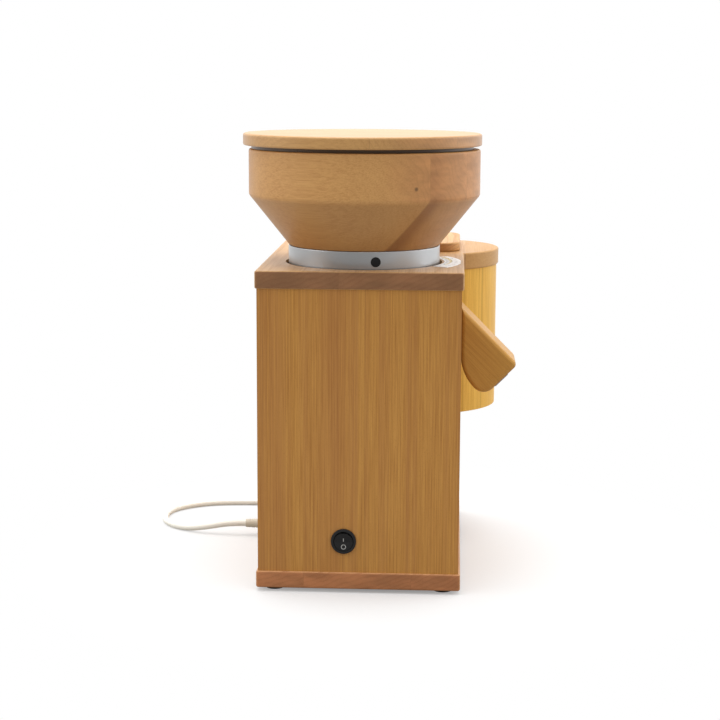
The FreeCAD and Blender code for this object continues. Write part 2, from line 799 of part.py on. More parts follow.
def motor_fan():
    """Hub, blades and the plate that carries them."""
    low = z_motor_bottom + fan_height
    high = low + fan_width
    blade_root = fan_hub_radius - fan_overlap
    fan = ring(fan_hub_radius, shaft_radius, low, high)
    fan = fan.fuse(ring(fan_radius, blade_root, high - fan_plate, high))
    for i in range(fan_blades):
        blade = block(blade_root, fan_radius, -blade_thickness / 2, blade_thickness / 2,
                      low, high - fan_overlap)
        blade.rotate(point(0, 0, 0), UP, 360 * i / fan_blades)
        fan = fan.fuse(blade)
    save("motor_fan", fan.removeSplitter())


def motor_wiring():
    """Running capacitor in its clip, and the terminal block, on the base board."""
    x, y = capacitor_x, capacitor_y
    low = z_floor + clip_wall
    high = low + capacitor_length
    can = disc(capacitor_radius, low, high, x, y)
    for side in (-1, 1):
        middle = x + side * tab_spacing / 2
        can = can.fuse(block(middle - tab_width / 2, middle + tab_width / 2,
                             y - tab_thickness / 2, y + tab_thickness / 2, high, high + tab_length))
    save("motor_capacitor", can)
    clip_radius = capacitor_radius + clip_wall
    clip = ring(clip_radius, capacitor_radius, low, low + clip_height, x, y)
    foot = block(x - clip_radius, x + clip_radius, y - clip_foot / 2, y + clip_foot / 2, z_floor, low)
    save("capacitor_clip", clip.fuse(foot).removeSplitter())
    z_blocks = z_floor + terminal_base
    strip = block(terminal_rear, terminal_rear + terminal_length, terminal_y, terminal_y + terminal_depth,
                  z_floor, z_blocks)
    for i in range(terminal_blocks):
        start = terminal_rear + terminal_inset + terminal_pitch * i
        strip = strip.fuse(block(start, start + terminal_block_length, terminal_y + terminal_step,
                                 terminal_y + terminal_depth - terminal_step, z_blocks,
                                 z_blocks + terminal_block_height))
    save("terminal_block", strip.removeSplitter())


# Gears


def involute(angle):
    return math.tan(angle) - angle


def gear(teeth, y0, y1, x, z, bore, turn):
    """A spur gear along Y. Each flank is the curve of a taut string unwound from the base circle."""
    pressure = math.radians(20)
    pitch = gear_module * teeth / 2
    base = pitch * math.cos(pressure)
    tip = pitch + gear_module * 0.92
    root = pitch - gear_module * 1.25
    half_at_pitch = math.pi / 2 / teeth - backlash / 2 / pitch
    low = max(base, root)
    radii = [low + (tip - low) * i / 4 for i in range(5)]
    halves = []
    for radius in radii:
        roll = math.acos(min(1.0, base / radius))
        halves.append(half_at_pitch + involute(pressure) - involute(roll))
    points = []
    for i in range(teeth):
        centre = turn + 2 * math.pi * i / teeth
        points.append((root, centre - halves[0]))
        for radius, half in zip(radii, halves):
            points.append((radius, centre - half))
        for radius, half in zip(reversed(radii), reversed(halves)):
            points.append((radius, centre + half))
        points.append((root, centre + halves[0]))
    corners = [point(x + r * math.cos(a), y0, z + r * math.sin(a)) for r, a in points]
    cleaned = [corners[0]]
    for corner in corners[1:]:
        if (corner - cleaned[-1]).Length > 1e-4:
            cleaned.append(corner)
    face = Part.Face(Part.makePolygon(cleaned + cleaned[:1]))
    return face.extrude(point(0, y1 - y0, 0)).cut(bar(bore, y0, y1, x, z))


# Flaker

roller_x = x_front - roller_back
drive_x = roller_x - roller_offset
driven_x = roller_x + roller_offset
roller_y0 = lobe_y - roller_length / 2
roller_y1 = lobe_y + roller_length / 2
plate_near = roller_y0 - side_plate_gap
plate_far = roller_y1 + side_plate_gap
gears_y = plate_far + side_plate + gear_gap
wheel_y = gears_y + gear_width + gear_step
pinion_distance = gear_module * (wheel_teeth + pinion_teeth) / 2
pinion_x = drive_x + pinion_distance * math.cos(math.radians(pinion_angle))
pinion_z = roller_height + pinion_distance * math.sin(math.radians(pinion_angle))


def flaker_frame():
    """Two side plates with turned-out top edges and two tie bars, and the bushes of the rollers."""
    x0 = pinion_x - flaker_motor_radius - frame_margin
    x1 = x_front + frame_front
    z0 = pinion_z - flaker_motor_radius - frame_margin
    lip = z_ceiling - frame_lip_thickness
    near = block(x0, x1, plate_near - side_plate, plate_near, z0, z_ceiling)
    near = near.fuse(block(x0, x1, plate_near - side_plate - frame_lip, plate_near, lip, z_ceiling))
    far = block(x0, x1, plate_far, plate_far + side_plate, z0, z_ceiling)
    far = far.fuse(block(x0, x1, plate_far, plate_far + side_plate + frame_lip, lip, z_ceiling))
    frame = near.fuse(far)
    for x in (x0 + tie_rear_inset, x1 - tie_front_inset):
        frame = frame.fuse(bar(tie_radius, plate_near, plate_far, x, z_ceiling - tie_drop))
    for x in (drive_x, driven_x):
        frame = frame.cut(bar(bush_radius, plate_near - side_plate, plate_near, x, roller_height))
        frame = frame.cut(bar(bush_radius, plate_far, plate_far + side_plate, x, roller_height))
    frame = frame.cut(bar(motor_hole, plate_far, plate_far + side_plate, pinion_x, pinion_z))
    save("flaker_frame", frame.removeSplitter())
    bushes = []
    for x in (drive_x, driven_x):
        for y in (plate_near - side_plate, plate_far):
            bush = bar(bush_radius, y, y + side_plate, x, roller_height)
            bushes.append(bush.cut(bar(roller_shaft_radius + running_clearance, y, y + side_plate,
                                       x, roller_height)))
    save("roller_bushes", bushes)


def flaker_drive():
    """Rollers on their shafts, the gears that tie them, the wheel, the pinion and the gear motor."""
    shaft_near = plate_near - side_plate - roller_shaft_over
    drive_end = wheel_y + gear_width + roller_shaft_end
    driven_end = gears_y + gear_width
    drive = bar(roller_radius, roller_y0, roller_y1, drive_x, roller_height)
    drive = drive.fuse(bar(roller_shaft_radius, shaft_near, drive_end, drive_x, roller_height))
    save("drive_roller", drive.removeSplitter())
    driven = bar(roller_radius, roller_y0, roller_y1, driven_x, roller_height)
    driven = driven.fuse(bar(roller_shaft_radius, shaft_near, driven_end, driven_x, roller_height))
    save("driven_roller", driven.removeSplitter())
    save("drive_gear", gear(roller_teeth, gears_y, gears_y + gear_width, drive_x, roller_height,
                            roller_shaft_radius, 0.0))
    half_tooth = math.pi / roller_teeth
    save("driven_gear", gear(roller_teeth, gears_y, gears_y + gear_width, driven_x, roller_height,
                             roller_shaft_radius, math.pi + half_tooth))
    toward = math.radians(pinion_angle)
    save("drive_wheel", gear(wheel_teeth, wheel_y, wheel_y + gear_width, drive_x, roller_height,
                             roller_shaft_radius, toward))
    pinion = gear(pinion_teeth, wheel_y, wheel_y + gear_width, pinion_x, pinion_z, pinion_bore,
                  toward + math.pi + math.pi / pinion_teeth)
    shaft_start = plate_far - motor_shaft_sunk
    shaft = bar(motor_shaft_radius, shaft_start, wheel_y + gear_width, pinion_x, pinion_z)
    save("flaker_pinion", pinion.fuse(shaft).removeSplitter())
    body = bar(flaker_motor_radius, plate_near + motor_plate_gap, plate_far, pinion_x, pinion_z)
    seat = bar(motor_shaft_radius + running_clearance, shaft_start - motor_shaft_end_play, plate_far,
               pinion_x, pinion_z)
    save("flaker_motor", body.cut(seat))


def four_sided(z0, x0, x1, half0, z1, x2, x3, half1):
    """A straight-sided solid between two level rectangles."""
    wires = []
    for z, left, right, half in ((z0, x0, x1, half0), (z1, x2, x3, half1)):
        wires.append(Part.makePolygon([point(left, lobe_y - half, z), point(right, lobe_y - half, z),
                                       point(right, lobe_y + half, z), point(left, lobe_y + half, z),
                                       point(left, lobe_y - half, z)]))
    return Part.makeLoft(wires, True, True)


def outlet_box(z0, z1, shrink):
    x0 = wall_front + outlet_rear + shrink
    x1 = x0 + outlet_length - 2 * shrink
    half = outlet_half_width - shrink
    return block(x0, x1, lobe_y - half, lobe_y + half, z0, z1)


def flaker_sheet_parts():
    """Funnel above the rollers, chute below them, and the wooden lid."""
    z_funnel = z_top - flaker_lid_plug - sheet_gap
    z_mouth = roller_height + roller_radius + sheet_gap
    x0 = x_front - inlet_rear
    x1 = x_front - inlet_front
    m0 = roller_x - funnel_mouth / 2
    m1 = roller_x + funnel_mouth / 2
    half = inlet_half_width
    w = funnel_wall
    neck = block(x0, x1, lobe_y - half, lobe_y + half, z_ceiling, z_funnel)
    outer = neck.fuse(four_sided(z_mouth, m0 - w, m1 + w, half, z_ceiling, x0, x1, half))
    hole = block(x0 + w, x1 - w, lobe_y - half + w, lobe_y + half - w, z_ceiling, z_funnel)
    hole = hole.fuse(four_sided(z_mouth, m0, m1, half - w, z_ceiling, x0 + w, x1 - w, half - w))
    save("flaker_funnel", outer.cut(hole).removeSplitter())

    z_in = roller_height - roller_radius - sheet_gap
    z_bend = lobe_bottom + lobe_floor_thickness + chute_bend
    x2 = wall_front + outlet_rear
    x3 = x2 + outlet_length
    x4 = drive_x - chute_drive_side
    x5 = driven_x + chute_driven_side
    c = chute_wall
    wide = chute_half_width
    outer = four_sided(z_in, x4, x5, wide, z_bend, x2, x3, outlet_half_width)
    outer = outer.fuse(outlet_box(lobe_bottom - chute_end, z_bend, 0.0))
    hole = four_sided(z_in, x4 + c, x5 - c, wide - c, z_bend, x2 + c, x3 - c, outlet_half_width - c)
    hole = hole.fuse(outlet_box(lobe_bottom - chute_end, z_bend, c))
    save("flake_chute", outer.cut(hole).removeSplitter())

    lid_x1 = x_front - flaker_lid_back
    lid_x0 = lid_x1 - flaker_lid_side
    mid = lobe_y + flaker_lid_y_shift
    side = flaker_lid_side / 2
    lid = rounded_block(lid_x0, lid_x1, mid - side, mid + side, z_top, z_top + flaker_lid_thickness,
                        flaker_lid_corner)
    edges = level_edges(lid, z_top + flaker_lid_thickness) + level_edges(lid, z_top)
    lid = lid.makeFillet(flaker_lid_round, edges)
    save("flaker_lid", lid.fuse(flaker_inlet(z_top - flaker_lid_plug, z_top, inlet_play)).removeSplitter())


# Switches


def switch(turned_round, face_y, body_name, rocker_name):
    """A round rocker switch in a wall: bezel and barrel, and the rocker tilted to its off side."""
    bezel = bar(switch_bezel_radius, -bezel_height, 0.0, 0, 0)
    bezel = bezel.makeFillet(bezel_round, [e for e in bezel.Edges if e.BoundBox.YMax < -bezel_height / 2])
    barrel = bar(switch_barrel_radius, 0.0, barrel_length, 0, 0)
    body = bezel.fuse(barrel).cut(bar(rocker_radius + rocker_play, -bezel_height, rocker_well, 0, 0))
    for x in (-blade_spacing / 2, blade_spacing / 2):
        body = body.fuse(block(x - blade_half_thickness, x + blade_half_thickness, barrel_length,
                               barrel_length + blade_length, -blade_width / 2, blade_width / 2))
    body = body.removeSplitter()
    root = rocker_radius * rocker_root_share
    corners = [point(0, -rocker_crown, rocker_radius), point(0, -rocker_dip, 0.0),
               point(0, -rocker_crown, -rocker_radius), point(0, rocker_depth, -root),
               point(0, rocker_depth, root)]
    face = Part.Face(Part.makePolygon(corners + corners[:1]))
    face.translate(point(-rocker_radius, 0, 0))
    rocker = face.extrude(point(2 * rocker_radius, 0, 0))
    rocker = rocker.common(bar(rocker_radius, -2 * rocker_crown, rocker_well, 0, 0))
    rocker.rotate(point(0, rocker_pivot, 0), ALONG_X, rocker_tilt)
    for name, shape in ((body_name, body), (rocker_name, rocker)):
        if turned_round:
            shape.rotate(point(0, 0, 0), UP, 180)
        shape.translate(point(switch_x, face_y, switch_height))
        save(name, shape)


# Mains lead


def route_points():
    """Centre line of the free lead, from the strain relief's tip to the coil. Chosen by hand."""
    tip = x_rear - relief_length - relief_plate
    y = cord_exit_y
    r = cord_radius
    loose = [(0.0, 0.0, cord_exit_height), (-17.0, 0.0, cord_exit_height), (-40.0, 2.5, 7.4),
             (-64.0, 9.5, r), (-86.0, 28.0, r), (-96.0, 57.0, r), (-89.0, 86.0, r),
             (-67.0, 108.0, r), (-39.0, 119.5, r)]
    points = [point(tip + dx, y + dy, z) for dx, dy, z in loose]
    level = coil_centre_y - coil_outer
    start = coil_centre_x - 2 * cord_radius
    points.append(point(start - 36.0, level, r))
    points.append(point(start, level, r))
    return points


def tail_points():
    """Centre line from the coil's upper end to the plug."""
    level = coil_centre_y - coil_outer
    start = coil_centre_x + 2 * cord_radius
    z = cord_radius + coil_step
    end = plug_place()
    return [point(start, level, z), point(start + 20.0, level, z), point(start + 42.0, level + 6.0, z + 4.0),
            point(end.x - 20.0, end.y, end.z), point(end.x, end.y, end.z)]


def plug_place():
    return point(coil_centre_x + plug_from_coil_x, coil_centre_y - coil_outer + plug_from_coil_y,
                 plug_body_radius)


def soft_path(points):
    """Straight runs joined by arcs as large as the runs allow."""
    edges = []
    last = points[0]
    for before, corner, after in zip(points, points[1:], points[2:]):
        turn = math.pi - (before - corner).getAngle(after - corner)
        shorter = min((corner - before).Length, (after - corner).Length)
        radius = 0.45 * shorter / math.tan(turn / 2)
        start, top, end = tangent_arc(before, corner, after, radius)
        edges.append(Part.LineSegment(last, start).toShape())
        edges.append(Part.Arc(start, top, end).toShape())
        print("bend radius", round(radius, 1))
        last = end
    edges.append(Part.LineSegment(last, points[-1]).toShape())
    return Part.Wire(edges)


def tube(path, start, direction, name):
    """A round tube along a path, with its volume compared with section times length."""
    section = Part.Wire([Part.Circle(start, direction, cord_radius).toShape()])
    shell = Part.BRepOffsetAPI.MakePipeShell(path)
    shell.add(section)
    shell.build()
    shell.makeSolid()
    solid = shell.shape()
    if solid.Volume < 0:
        solid = solid.reversed()
    expected = math.pi * cord_radius ** 2 * path.Length
    print(name, "length", round(path.Length, 1), "volume ratio", round(solid.Volume / expected, 4))
    return solid


def coil_point(angle):
    """The coil's centre line: in by one step a turn, up a layer in half a turn, and out again."""
    inward = 2 * math.pi * coil_turns
    z = cord_radius
    rate = coil_step / (2 * math.pi)
    inner = coil_outer - coil_step * coil_turns
    if angle < inward:
        radius = coil_outer - rate * angle
    elif angle < inward + math.pi:
        part = angle - inward
        radius = inner - rate * math.sin(part)
        z = cord_radius + coil_step * (1 - math.cos(part)) / 2
    else:
        radius = inner + rate * (angle - inward - math.pi)
        z = cord_radius + coil_step
    place = angle - math.pi / 2
    return point(coil_centre_x + radius * math.cos(place), coil_centre_y + radius * math.sin(place), z)


def coil_direction(angle):
    step = 1e-4
    return (coil_point(angle + step) - coil_point(angle - step)).normalize()


def two_arcs(one, heading_one, two, heading_two):
    """Two arcs that leave one point and reach another in given directions, smooth where they meet."""
    span = two - one
    sum_heading = heading_one + heading_two
    a = 4 - sum_heading.dot(sum_heading)
    b = span.dot(sum_heading)
    reach = (math.sqrt(b * b + a * span.dot(span)) - b) / a
    first = one + heading_one * reach
    second = two - heading_two * reach
    joint = (first + second) * 0.5
    arcs = []
    for start, corner, end in ((one, first, joint), (joint, second, two)):
        middle = (start + end) * 0.5
        rise = (corner - middle).Length
        chord = (start - end).Length / 2
        side = (corner - start).Length
        bow = side * chord / rise * (1 - chord / side)
        arcs.append(Part.Arc(start, middle + (corner - middle) * (bow / rise), end).toShape())
    return arcs


def coil():
    """The put-away coil as one tube: a straight start, quarter turns as arcs, and a straight end."""
    total = 2 * math.pi * coil_turns * 2 + math.pi
    quarters = int(round(total / (math.pi / 2)))
    stations = [total * i / quarters for i in range(quarters + 1)]
    places = [coil_point(a) for a in stations]
    headings = [coil_direction(a) for a in stations]
    level = coil_centre_y - coil_outer
    headings[0] = point(1, 0, 0)
    headings[-1] = point(1, 0, 0)
    begin = point(coil_centre_x - 2 * cord_radius, level, cord_radius)
    finish = places[-1] + point(2 * cord_radius, 0, 0)
    edges = [Part.LineSegment(begin, places[0]).toShape()]
    for i in range(quarters):
        edges.extend(two_arcs(places[i], headings[i], places[i + 1], headings[i + 1]))
    edges.append(Part.LineSegment(places[-1], finish).toShape())
    path = Part.Wire(edges)
    save("cord_coil", tube(path, begin, point(1, 0, 0), "coil"))

    line = []
    for edge in path.Edges:
        line.extend(edge.discretize(Number=12)[:-1])
    travelled = [0.0]
    for one, two in zip(line, line[1:]):
        travelled.append(travelled[-1] + (two - one).Length)
    least = 1e9
    for i in range(len(line)):
        for j in range(i + 1, len(line)):
            if travelled[j] - travelled[i] > 8 * cord_radius:
                least = min(least, (line[i] - line[j]).Length)
    print("coil's least gap to itself", round(least - 2 * cord_radius, 2))


def mains_lead():
    """Strain relief, free lead, tail and plug."""
    place = point(x_rear, cord_exit_y, cord_exit_height)
    relief = Part.makeCylinder(relief_stem, cord_bore - relief_stem_gap, place, ALONG_X)
    back = point(-1, 0, 0)
    relief = relief.fuse(Part.makeCylinder(relief_flange, relief_plate, place, back))
    taper = Part.makeCone(relief_root, relief_tip, relief_length, place + back * relief_plate, back)
    for i in range(relief_grooves):
        groove_at = x_rear - relief_first_groove - relief_groove_pitch * i
        for side in (-1, 1):
            heights = sorted((side * relief_groove_height, side * relief_flange))
            taper = taper.cut(block(groove_at - relief_groove_width, groove_at, cord_exit_y - relief_flange,
                                    cord_exit_y + relief_flange, cord_exit_height + heights[0],
                                    cord_exit_height + heights[1]))
    save("strain_relief", relief.fuse(taper).removeSplitter())

    points = route_points()
    lead = tube(soft_path(points), points[0], back, "free lead")
    save("cord", lead)
    coil()
    points = tail_points()
    save("cord_tail", tube(soft_path(points), points[0], point(1, 0, 0), "tail"))

    end = plug_place()
    neck = Part.makeCone(cord_radius + plug_neck_play, plug_neck_radius, plug_neck_length, end, ALONG_X)
    body = Part.makeCylinder(plug_body_radius, plug_body_length, end + ALONG_X * plug_body_start, ALONG_X)
    body = body.makeFillet(plug_body_round, [body.Edges[0]])
    shoulder = Part.makeCone(plug_neck_radius, plug_body_radius - plug_shoulder_step, plug_shoulder_length,
                             end + ALONG_X * plug_shoulder_start, ALONG_X)
    plug = neck.fuse(shoulder).fuse(body)
    pin_x = end.x + plug_body_start + plug_body_length
    for side in (-1, 1):
        notch = block(end.x + plug_notch_start, pin_x, end.y - plug_notch_width / 2,
                      end.y + plug_notch_width / 2, -plug_notch_depth, plug_notch_depth)
        notch.translate(point(0, 0, end.z + side * plug_body_radius))
        plug = plug.cut(notch)
        pin = Part.makeCylinder(pin_radius, pin_length, point(pin_x, end.y + side * pin_spacing / 2, end.z),
                                ALONG_X)
        plug = plug.fuse(pin)
    save("plug", plug.removeSplitter())


casing_boards()
walls()
feet()
spout()
grinding_unit()
adjusting_ring()
hopper()
motor()
motor_fan()
motor_wiring()
flaker_frame()
flaker_drive()
flaker_sheet_parts()
switch(False, wall_near, "mill_switch_body", "mill_switch_rocker")
switch(True, wall_far, "flaker_switch_body", "flaker_switch_rocker")
screws()
mains_lead()
print("origin", origin_x, origin_y, "total height", z_lid + lid_thickness)
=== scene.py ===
# %% [markdown]
# # A wooden grain mill, finished around its frame
# The imported model already holds every piece at its real size. This lesson loads it as a fixed frame and
# gives it its looks: oiled beech with real growth rings, satin aluminium, black switches and a pale lead.
# The first cell loads the frame.

# %% Load the frame
import math

import bmesh
import bpy
import numpy as np
from mathutils import Matrix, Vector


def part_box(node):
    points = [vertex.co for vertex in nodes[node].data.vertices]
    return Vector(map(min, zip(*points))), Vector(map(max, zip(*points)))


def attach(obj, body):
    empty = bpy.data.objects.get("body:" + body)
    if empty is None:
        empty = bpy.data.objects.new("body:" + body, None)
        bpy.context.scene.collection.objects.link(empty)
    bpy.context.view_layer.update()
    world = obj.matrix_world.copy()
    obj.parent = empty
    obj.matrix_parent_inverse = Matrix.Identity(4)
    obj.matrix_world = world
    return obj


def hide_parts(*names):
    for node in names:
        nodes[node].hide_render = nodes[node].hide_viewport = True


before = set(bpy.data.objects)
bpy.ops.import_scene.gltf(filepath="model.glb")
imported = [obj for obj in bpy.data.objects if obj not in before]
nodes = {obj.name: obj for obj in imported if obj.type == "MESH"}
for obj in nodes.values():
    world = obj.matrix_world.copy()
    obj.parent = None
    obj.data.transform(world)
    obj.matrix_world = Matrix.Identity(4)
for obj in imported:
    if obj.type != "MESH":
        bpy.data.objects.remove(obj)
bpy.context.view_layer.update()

# %% [markdown]
# ## Places taken from the frame
# The mill's upright axis is the middle of the adjusting ring, so the ring's box gives it. The hopper stands
# on the ring and the lead leaves at the strain relief. Reading these from the frame keeps the looks on the
# construction: a size is written here only where the frame doesn't hold it.

# %% Places from the frame
MM = 0.001


def middle(node):
    """The middle of a node's box."""
    low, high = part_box(node)
    return (np.array(low) + np.array(high)) / 2


AXIS = middle("adjusting_ring")[:2]
RING_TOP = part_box("adjusting_ring")[1].z
FRONT_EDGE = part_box("front_wall")[1].x
print("mill axis", AXIS.round(4), "ring top", round(RING_TOP, 4))

# %% [markdown]
# ## Meshes from arrays
# A turned piece is a profile carried round an axis: every point of the profile, at radius r and height h,
# goes to (r cos t, r sin t, h) for all angles t at once. numpy works the whole grid out in one step and
# foreach_set puts it into the mesh, which is quick and leaves no gaps between neighbouring faces.

# %% Mesh helpers


def mesh_piece(name, points, faces, body, soften=35.0):
    """Makes an object from an array of points and an array of four-cornered faces, riding on a body."""
    mesh = bpy.data.meshes.new(name)
    faces = np.asarray(faces, dtype=np.int32)
    mesh.vertices.add(len(points))
    mesh.vertices.foreach_set("co", np.asarray(points, dtype=np.float32).ravel())
    mesh.loops.add(faces.size)
    mesh.loops.foreach_set("vertex_index", faces.ravel())
    mesh.polygons.add(len(faces))
    mesh.polygons.foreach_set("loop_start", np.arange(len(faces), dtype=np.int32) * faces.shape[1])
    mesh.update(calc_edges=True)
    mesh.validate()
    mesh.shade_smooth()
    mesh.set_sharp_from_angle(angle=math.radians(soften))
    piece = bpy.data.objects.new(name, mesh)
    bpy.context.scene.collection.objects.link(piece)
    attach(piece, body)
    print(name, "faces", len(faces))
    return piece


def rounded(corners, radii, arc_steps=7, edge=0.35 * MM):
    """A profile through corners: each corner is an arc of its own radius, and each straight run gets one
    point a little way from either end, so that the arc's shading doesn't spread over the flat."""
    corners = np.asarray(corners, float)
    line = []
    for i, radius in enumerate(radii):
        here = corners[i]
        if radius == 0:
            line.append(here)
            continue
        one = corners[i - 1] - here
        two = corners[(i + 1) % len(corners)] - here
        one /= np.linalg.norm(one)
        two /= np.linalg.norm(two)
        half = math.acos(np.clip(one @ two, -1, 1)) / 2
        reach = radius / math.tan(half)
        centre = here + (one + two) / np.linalg.norm(one + two) * radius / math.sin(half)
        start = here + one * reach - centre
        end = here + two * reach - centre
        share = np.linspace(0, 1, arc_steps)[:, None]
        spin = math.pi - 2 * half
        arc = (np.sin((1 - share) * spin) * start + np.sin(share * spin) * end) / math.sin(spin)
        line.append(here + one * (reach + edge))
        line.extend(centre + arc)
        line.append(here + two * (reach + edge))
    return np.array(line)


def turned(name, profile, axis, body, steps=224, loop=False, soften=35.0):
    """A profile of (radius, height) points carried round an upright axis. A looped profile closes on itself,
    like a bowl's wall. An open one starts and ends on the axis."""
    angles = np.linspace(0, 2 * math.pi, steps, endpoint=False)
    radius = np.maximum(profile[:, 0], 1e-6)[:, None]
    points = np.stack([axis[0] + radius * np.cos(angles), axis[1] + radius * np.sin(angles),
                       np.broadcast_to(profile[:, 1][:, None], (len(profile), steps))], -1)
    rows = np.arange(len(profile) if loop else len(profile) - 1)[:, None]
    columns = np.arange(steps)[None, :]
    below = (rows + 1) % len(profile)
    beside = (columns + 1) % steps
    faces = np.stack([rows * steps + columns, below * steps + columns, below * steps + beside,
                      rows * steps + beside], -1)
    piece = mesh_piece(name, points.reshape(-1, 3), faces.reshape(-1, 4), body, soften)
    weld(piece)
    return piece


def weld(piece, reach=0.004 * MM):
    """Joins points that lie on each other, as at a turned piece's poles, and turns all faces outwards."""
    work = bmesh.new()
    work.from_mesh(piece.data)
    bmesh.ops.remove_doubles(work, verts=work.verts, dist=reach)
    bmesh.ops.recalc_face_normals(work, faces=work.faces)
    work.to_mesh(piece.data)
    work.free()
    piece.data.update()


# %% [markdown]
# ## Shader sums written as Python
# A finish is a small sum of noises, bands and masks. Wrapping a socket in a class and giving it +, -, * and /
# makes that sum readable: `light * mask + dark * (1 - mask)` adds its own Math nodes. Everything else comes
# from one method that takes the kind of node, its settings and what goes into its sockets. The floor and the
# room are built with the same methods later on.

# %% Shader helpers


class Value:
    """A number, vector or colour that a node gives, with sums that add nodes."""

    def __init__(self, graph, socket):
        self.graph = graph
        self.socket = socket

    def sum(self, how, *parts):
        """One Math node of that kind on these parts."""
        return self.graph.node("ShaderNodeMath", {"operation": how}, dict(enumerate(parts)))

    def __add__(self, other):
        return self.sum("ADD", self, other)

    __radd__ = __add__

    def __sub__(self, other):
        return self.sum("SUBTRACT", self, other)

    def __rsub__(self, other):
        return self.sum("SUBTRACT", other, self)

    def __mul__(self, other):
        return self.sum("MULTIPLY", self, other)

    __rmul__ = __mul__

    def __truediv__(self, other):
        return self.sum("DIVIDE", self, other)

    def __rtruediv__(self, other):
        return self.sum("DIVIDE", other, self)

    def __pow__(self, other):
        return self.sum("POWER", self, other)

    def floor(self):
        return self.sum("FLOOR", self)

    def fraction(self):
        return self.sum("FRACT", self)

    def size(self):
        return self.sum("ABSOLUTE", self)

    def at_least(self, other):
        return self.sum("MAXIMUM", self, other)

    def band(self, low, high, to_low=0.0, to_high=1.0):
        """Runs smoothly from to_low to to_high while this value goes from low to high."""
        return self.graph.node("ShaderNodeMapRange", {"interpolation_type": "SMOOTHSTEP"},
                               {"Value": self, "From Min": low, "From Max": high,
                                "To Min": to_low, "To Max": to_high})


class Graph:
    """A node tree, and the methods that add to it."""

    def __init__(self, tree):
        self.tree = tree

    def node(self, kind, settings=None, sockets=None, out=0):
        """Adds a node: its settings first, then the values or links of its sockets. Gives one output."""
        made = self.tree.nodes.new(kind)
        for key, value in (settings or {}).items():
            setattr(made, key, value)
        for key, value in (sockets or {}).items():
            if isinstance(value, Value):
                self.tree.links.new(value.socket, made.inputs[key])
            else:
                made.inputs[key].default_value = value
        return Value(self, made.outputs[out]) if len(made.outputs) else None

    def measure(self, how, one, two=(0, 0, 0)):
        """One number from vectors: their DOT_PRODUCT, their DISTANCE, or the LENGTH of the first."""
        return self.node("ShaderNodeVectorMath", {"operation": how}, {0: one, 1: two}, out="Value")

    def blend(self, share, one, two):
        """A colour between two, by share."""
        made = {0: share}
        for key, value in {6: one, 7: two}.items():
            made[key] = value if isinstance(value, Value) else (*value, 1.0)
        return self.node("ShaderNodeMix", {"data_type": "RGBA"}, made, out=2)

    def mix(self, share, one, two):
        """A shader between two, by share."""
        return self.node("ShaderNodeMixShader", {}, {0: share, 1: one, 2: two})


class Finish(Graph):
    """A material: a Principled shader, and methods that add what feeds it."""

    def __init__(self, name, **fixed):
        self.material = bpy.data.materials.new(name)
        self.material.use_nodes = True
        super().__init__(self.material.node_tree)
        self.shader = self.tree.nodes["Principled BSDF"]
        for socket, value in fixed.items():
            self.shader.inputs[socket.replace("_", " ")].default_value = value

    def feed(self, **links):
        """Links values to the shader's sockets."""
        for socket, value in links.items():
            self.tree.links.new(value.socket, self.shader.inputs[socket.replace("_", " ")])

    def place(self, turn=(0, 0, 0), move=(0, 0, 0)):
        """The point on the piece, in metres, moved and then turned."""
        spot = self.node("ShaderNodeTexCoord", out="Object")
        spot = self.node("ShaderNodeVectorMath", {"operation": "ADD"}, {0: spot, 1: move})
        return self.node("ShaderNodeMapping", {"vector_type": "POINT"},
                         {"Vector": spot, "Rotation": tuple(math.radians(a) for a in turn)})

    def stretch(self, spot, scale):
        return self.node("ShaderNodeVectorMath", {"operation": "MULTIPLY"}, {0: spot, 1: scale})

    def parts(self, spot):
        return [self.node("ShaderNodeSeparateXYZ", {}, {0: spot}, out=i) for i in range(3)]

    def join(self, x, y, z):
        return self.node("ShaderNodeCombineXYZ", {}, {0: x, 1: y, 2: z})

    def noise(self, spot, scale, detail=3.0, rough=0.55):
        """Cloudy noise, with scale as its waves a metre along each axis."""
        return self.node("ShaderNodeTexNoise", {"normalize": True},
                         {"Vector": self.stretch(spot, scale), "Scale": 1.0, "Detail": detail,
                          "Roughness": rough})

    def bump(self, height, depth, strength=1.0):
        return self.node("ShaderNodeBump", {}, {"Height": height, "Distance": depth, "Strength": strength})


# %% [markdown]
# ## Wood as a solid
# Real wood is a solid block with growth rings in it, so its look is worked out in space and not painted on a
# face. The point is turned so that the fibres lie along X. Rings are thin tilted layers, so they run as long
# lines on a face that is cut along the fibres and show as slanting bands on end grain. Fibres are a noise
# stretched along X, rays are short dark flecks, and every glued strip has its own tone, tilt and shift. End
# grain soaks up more oil, so it is darker: the mask for it compares the face's direction with the fibres.

# %% Wood
GLUE_LINE = 0.7 * MM


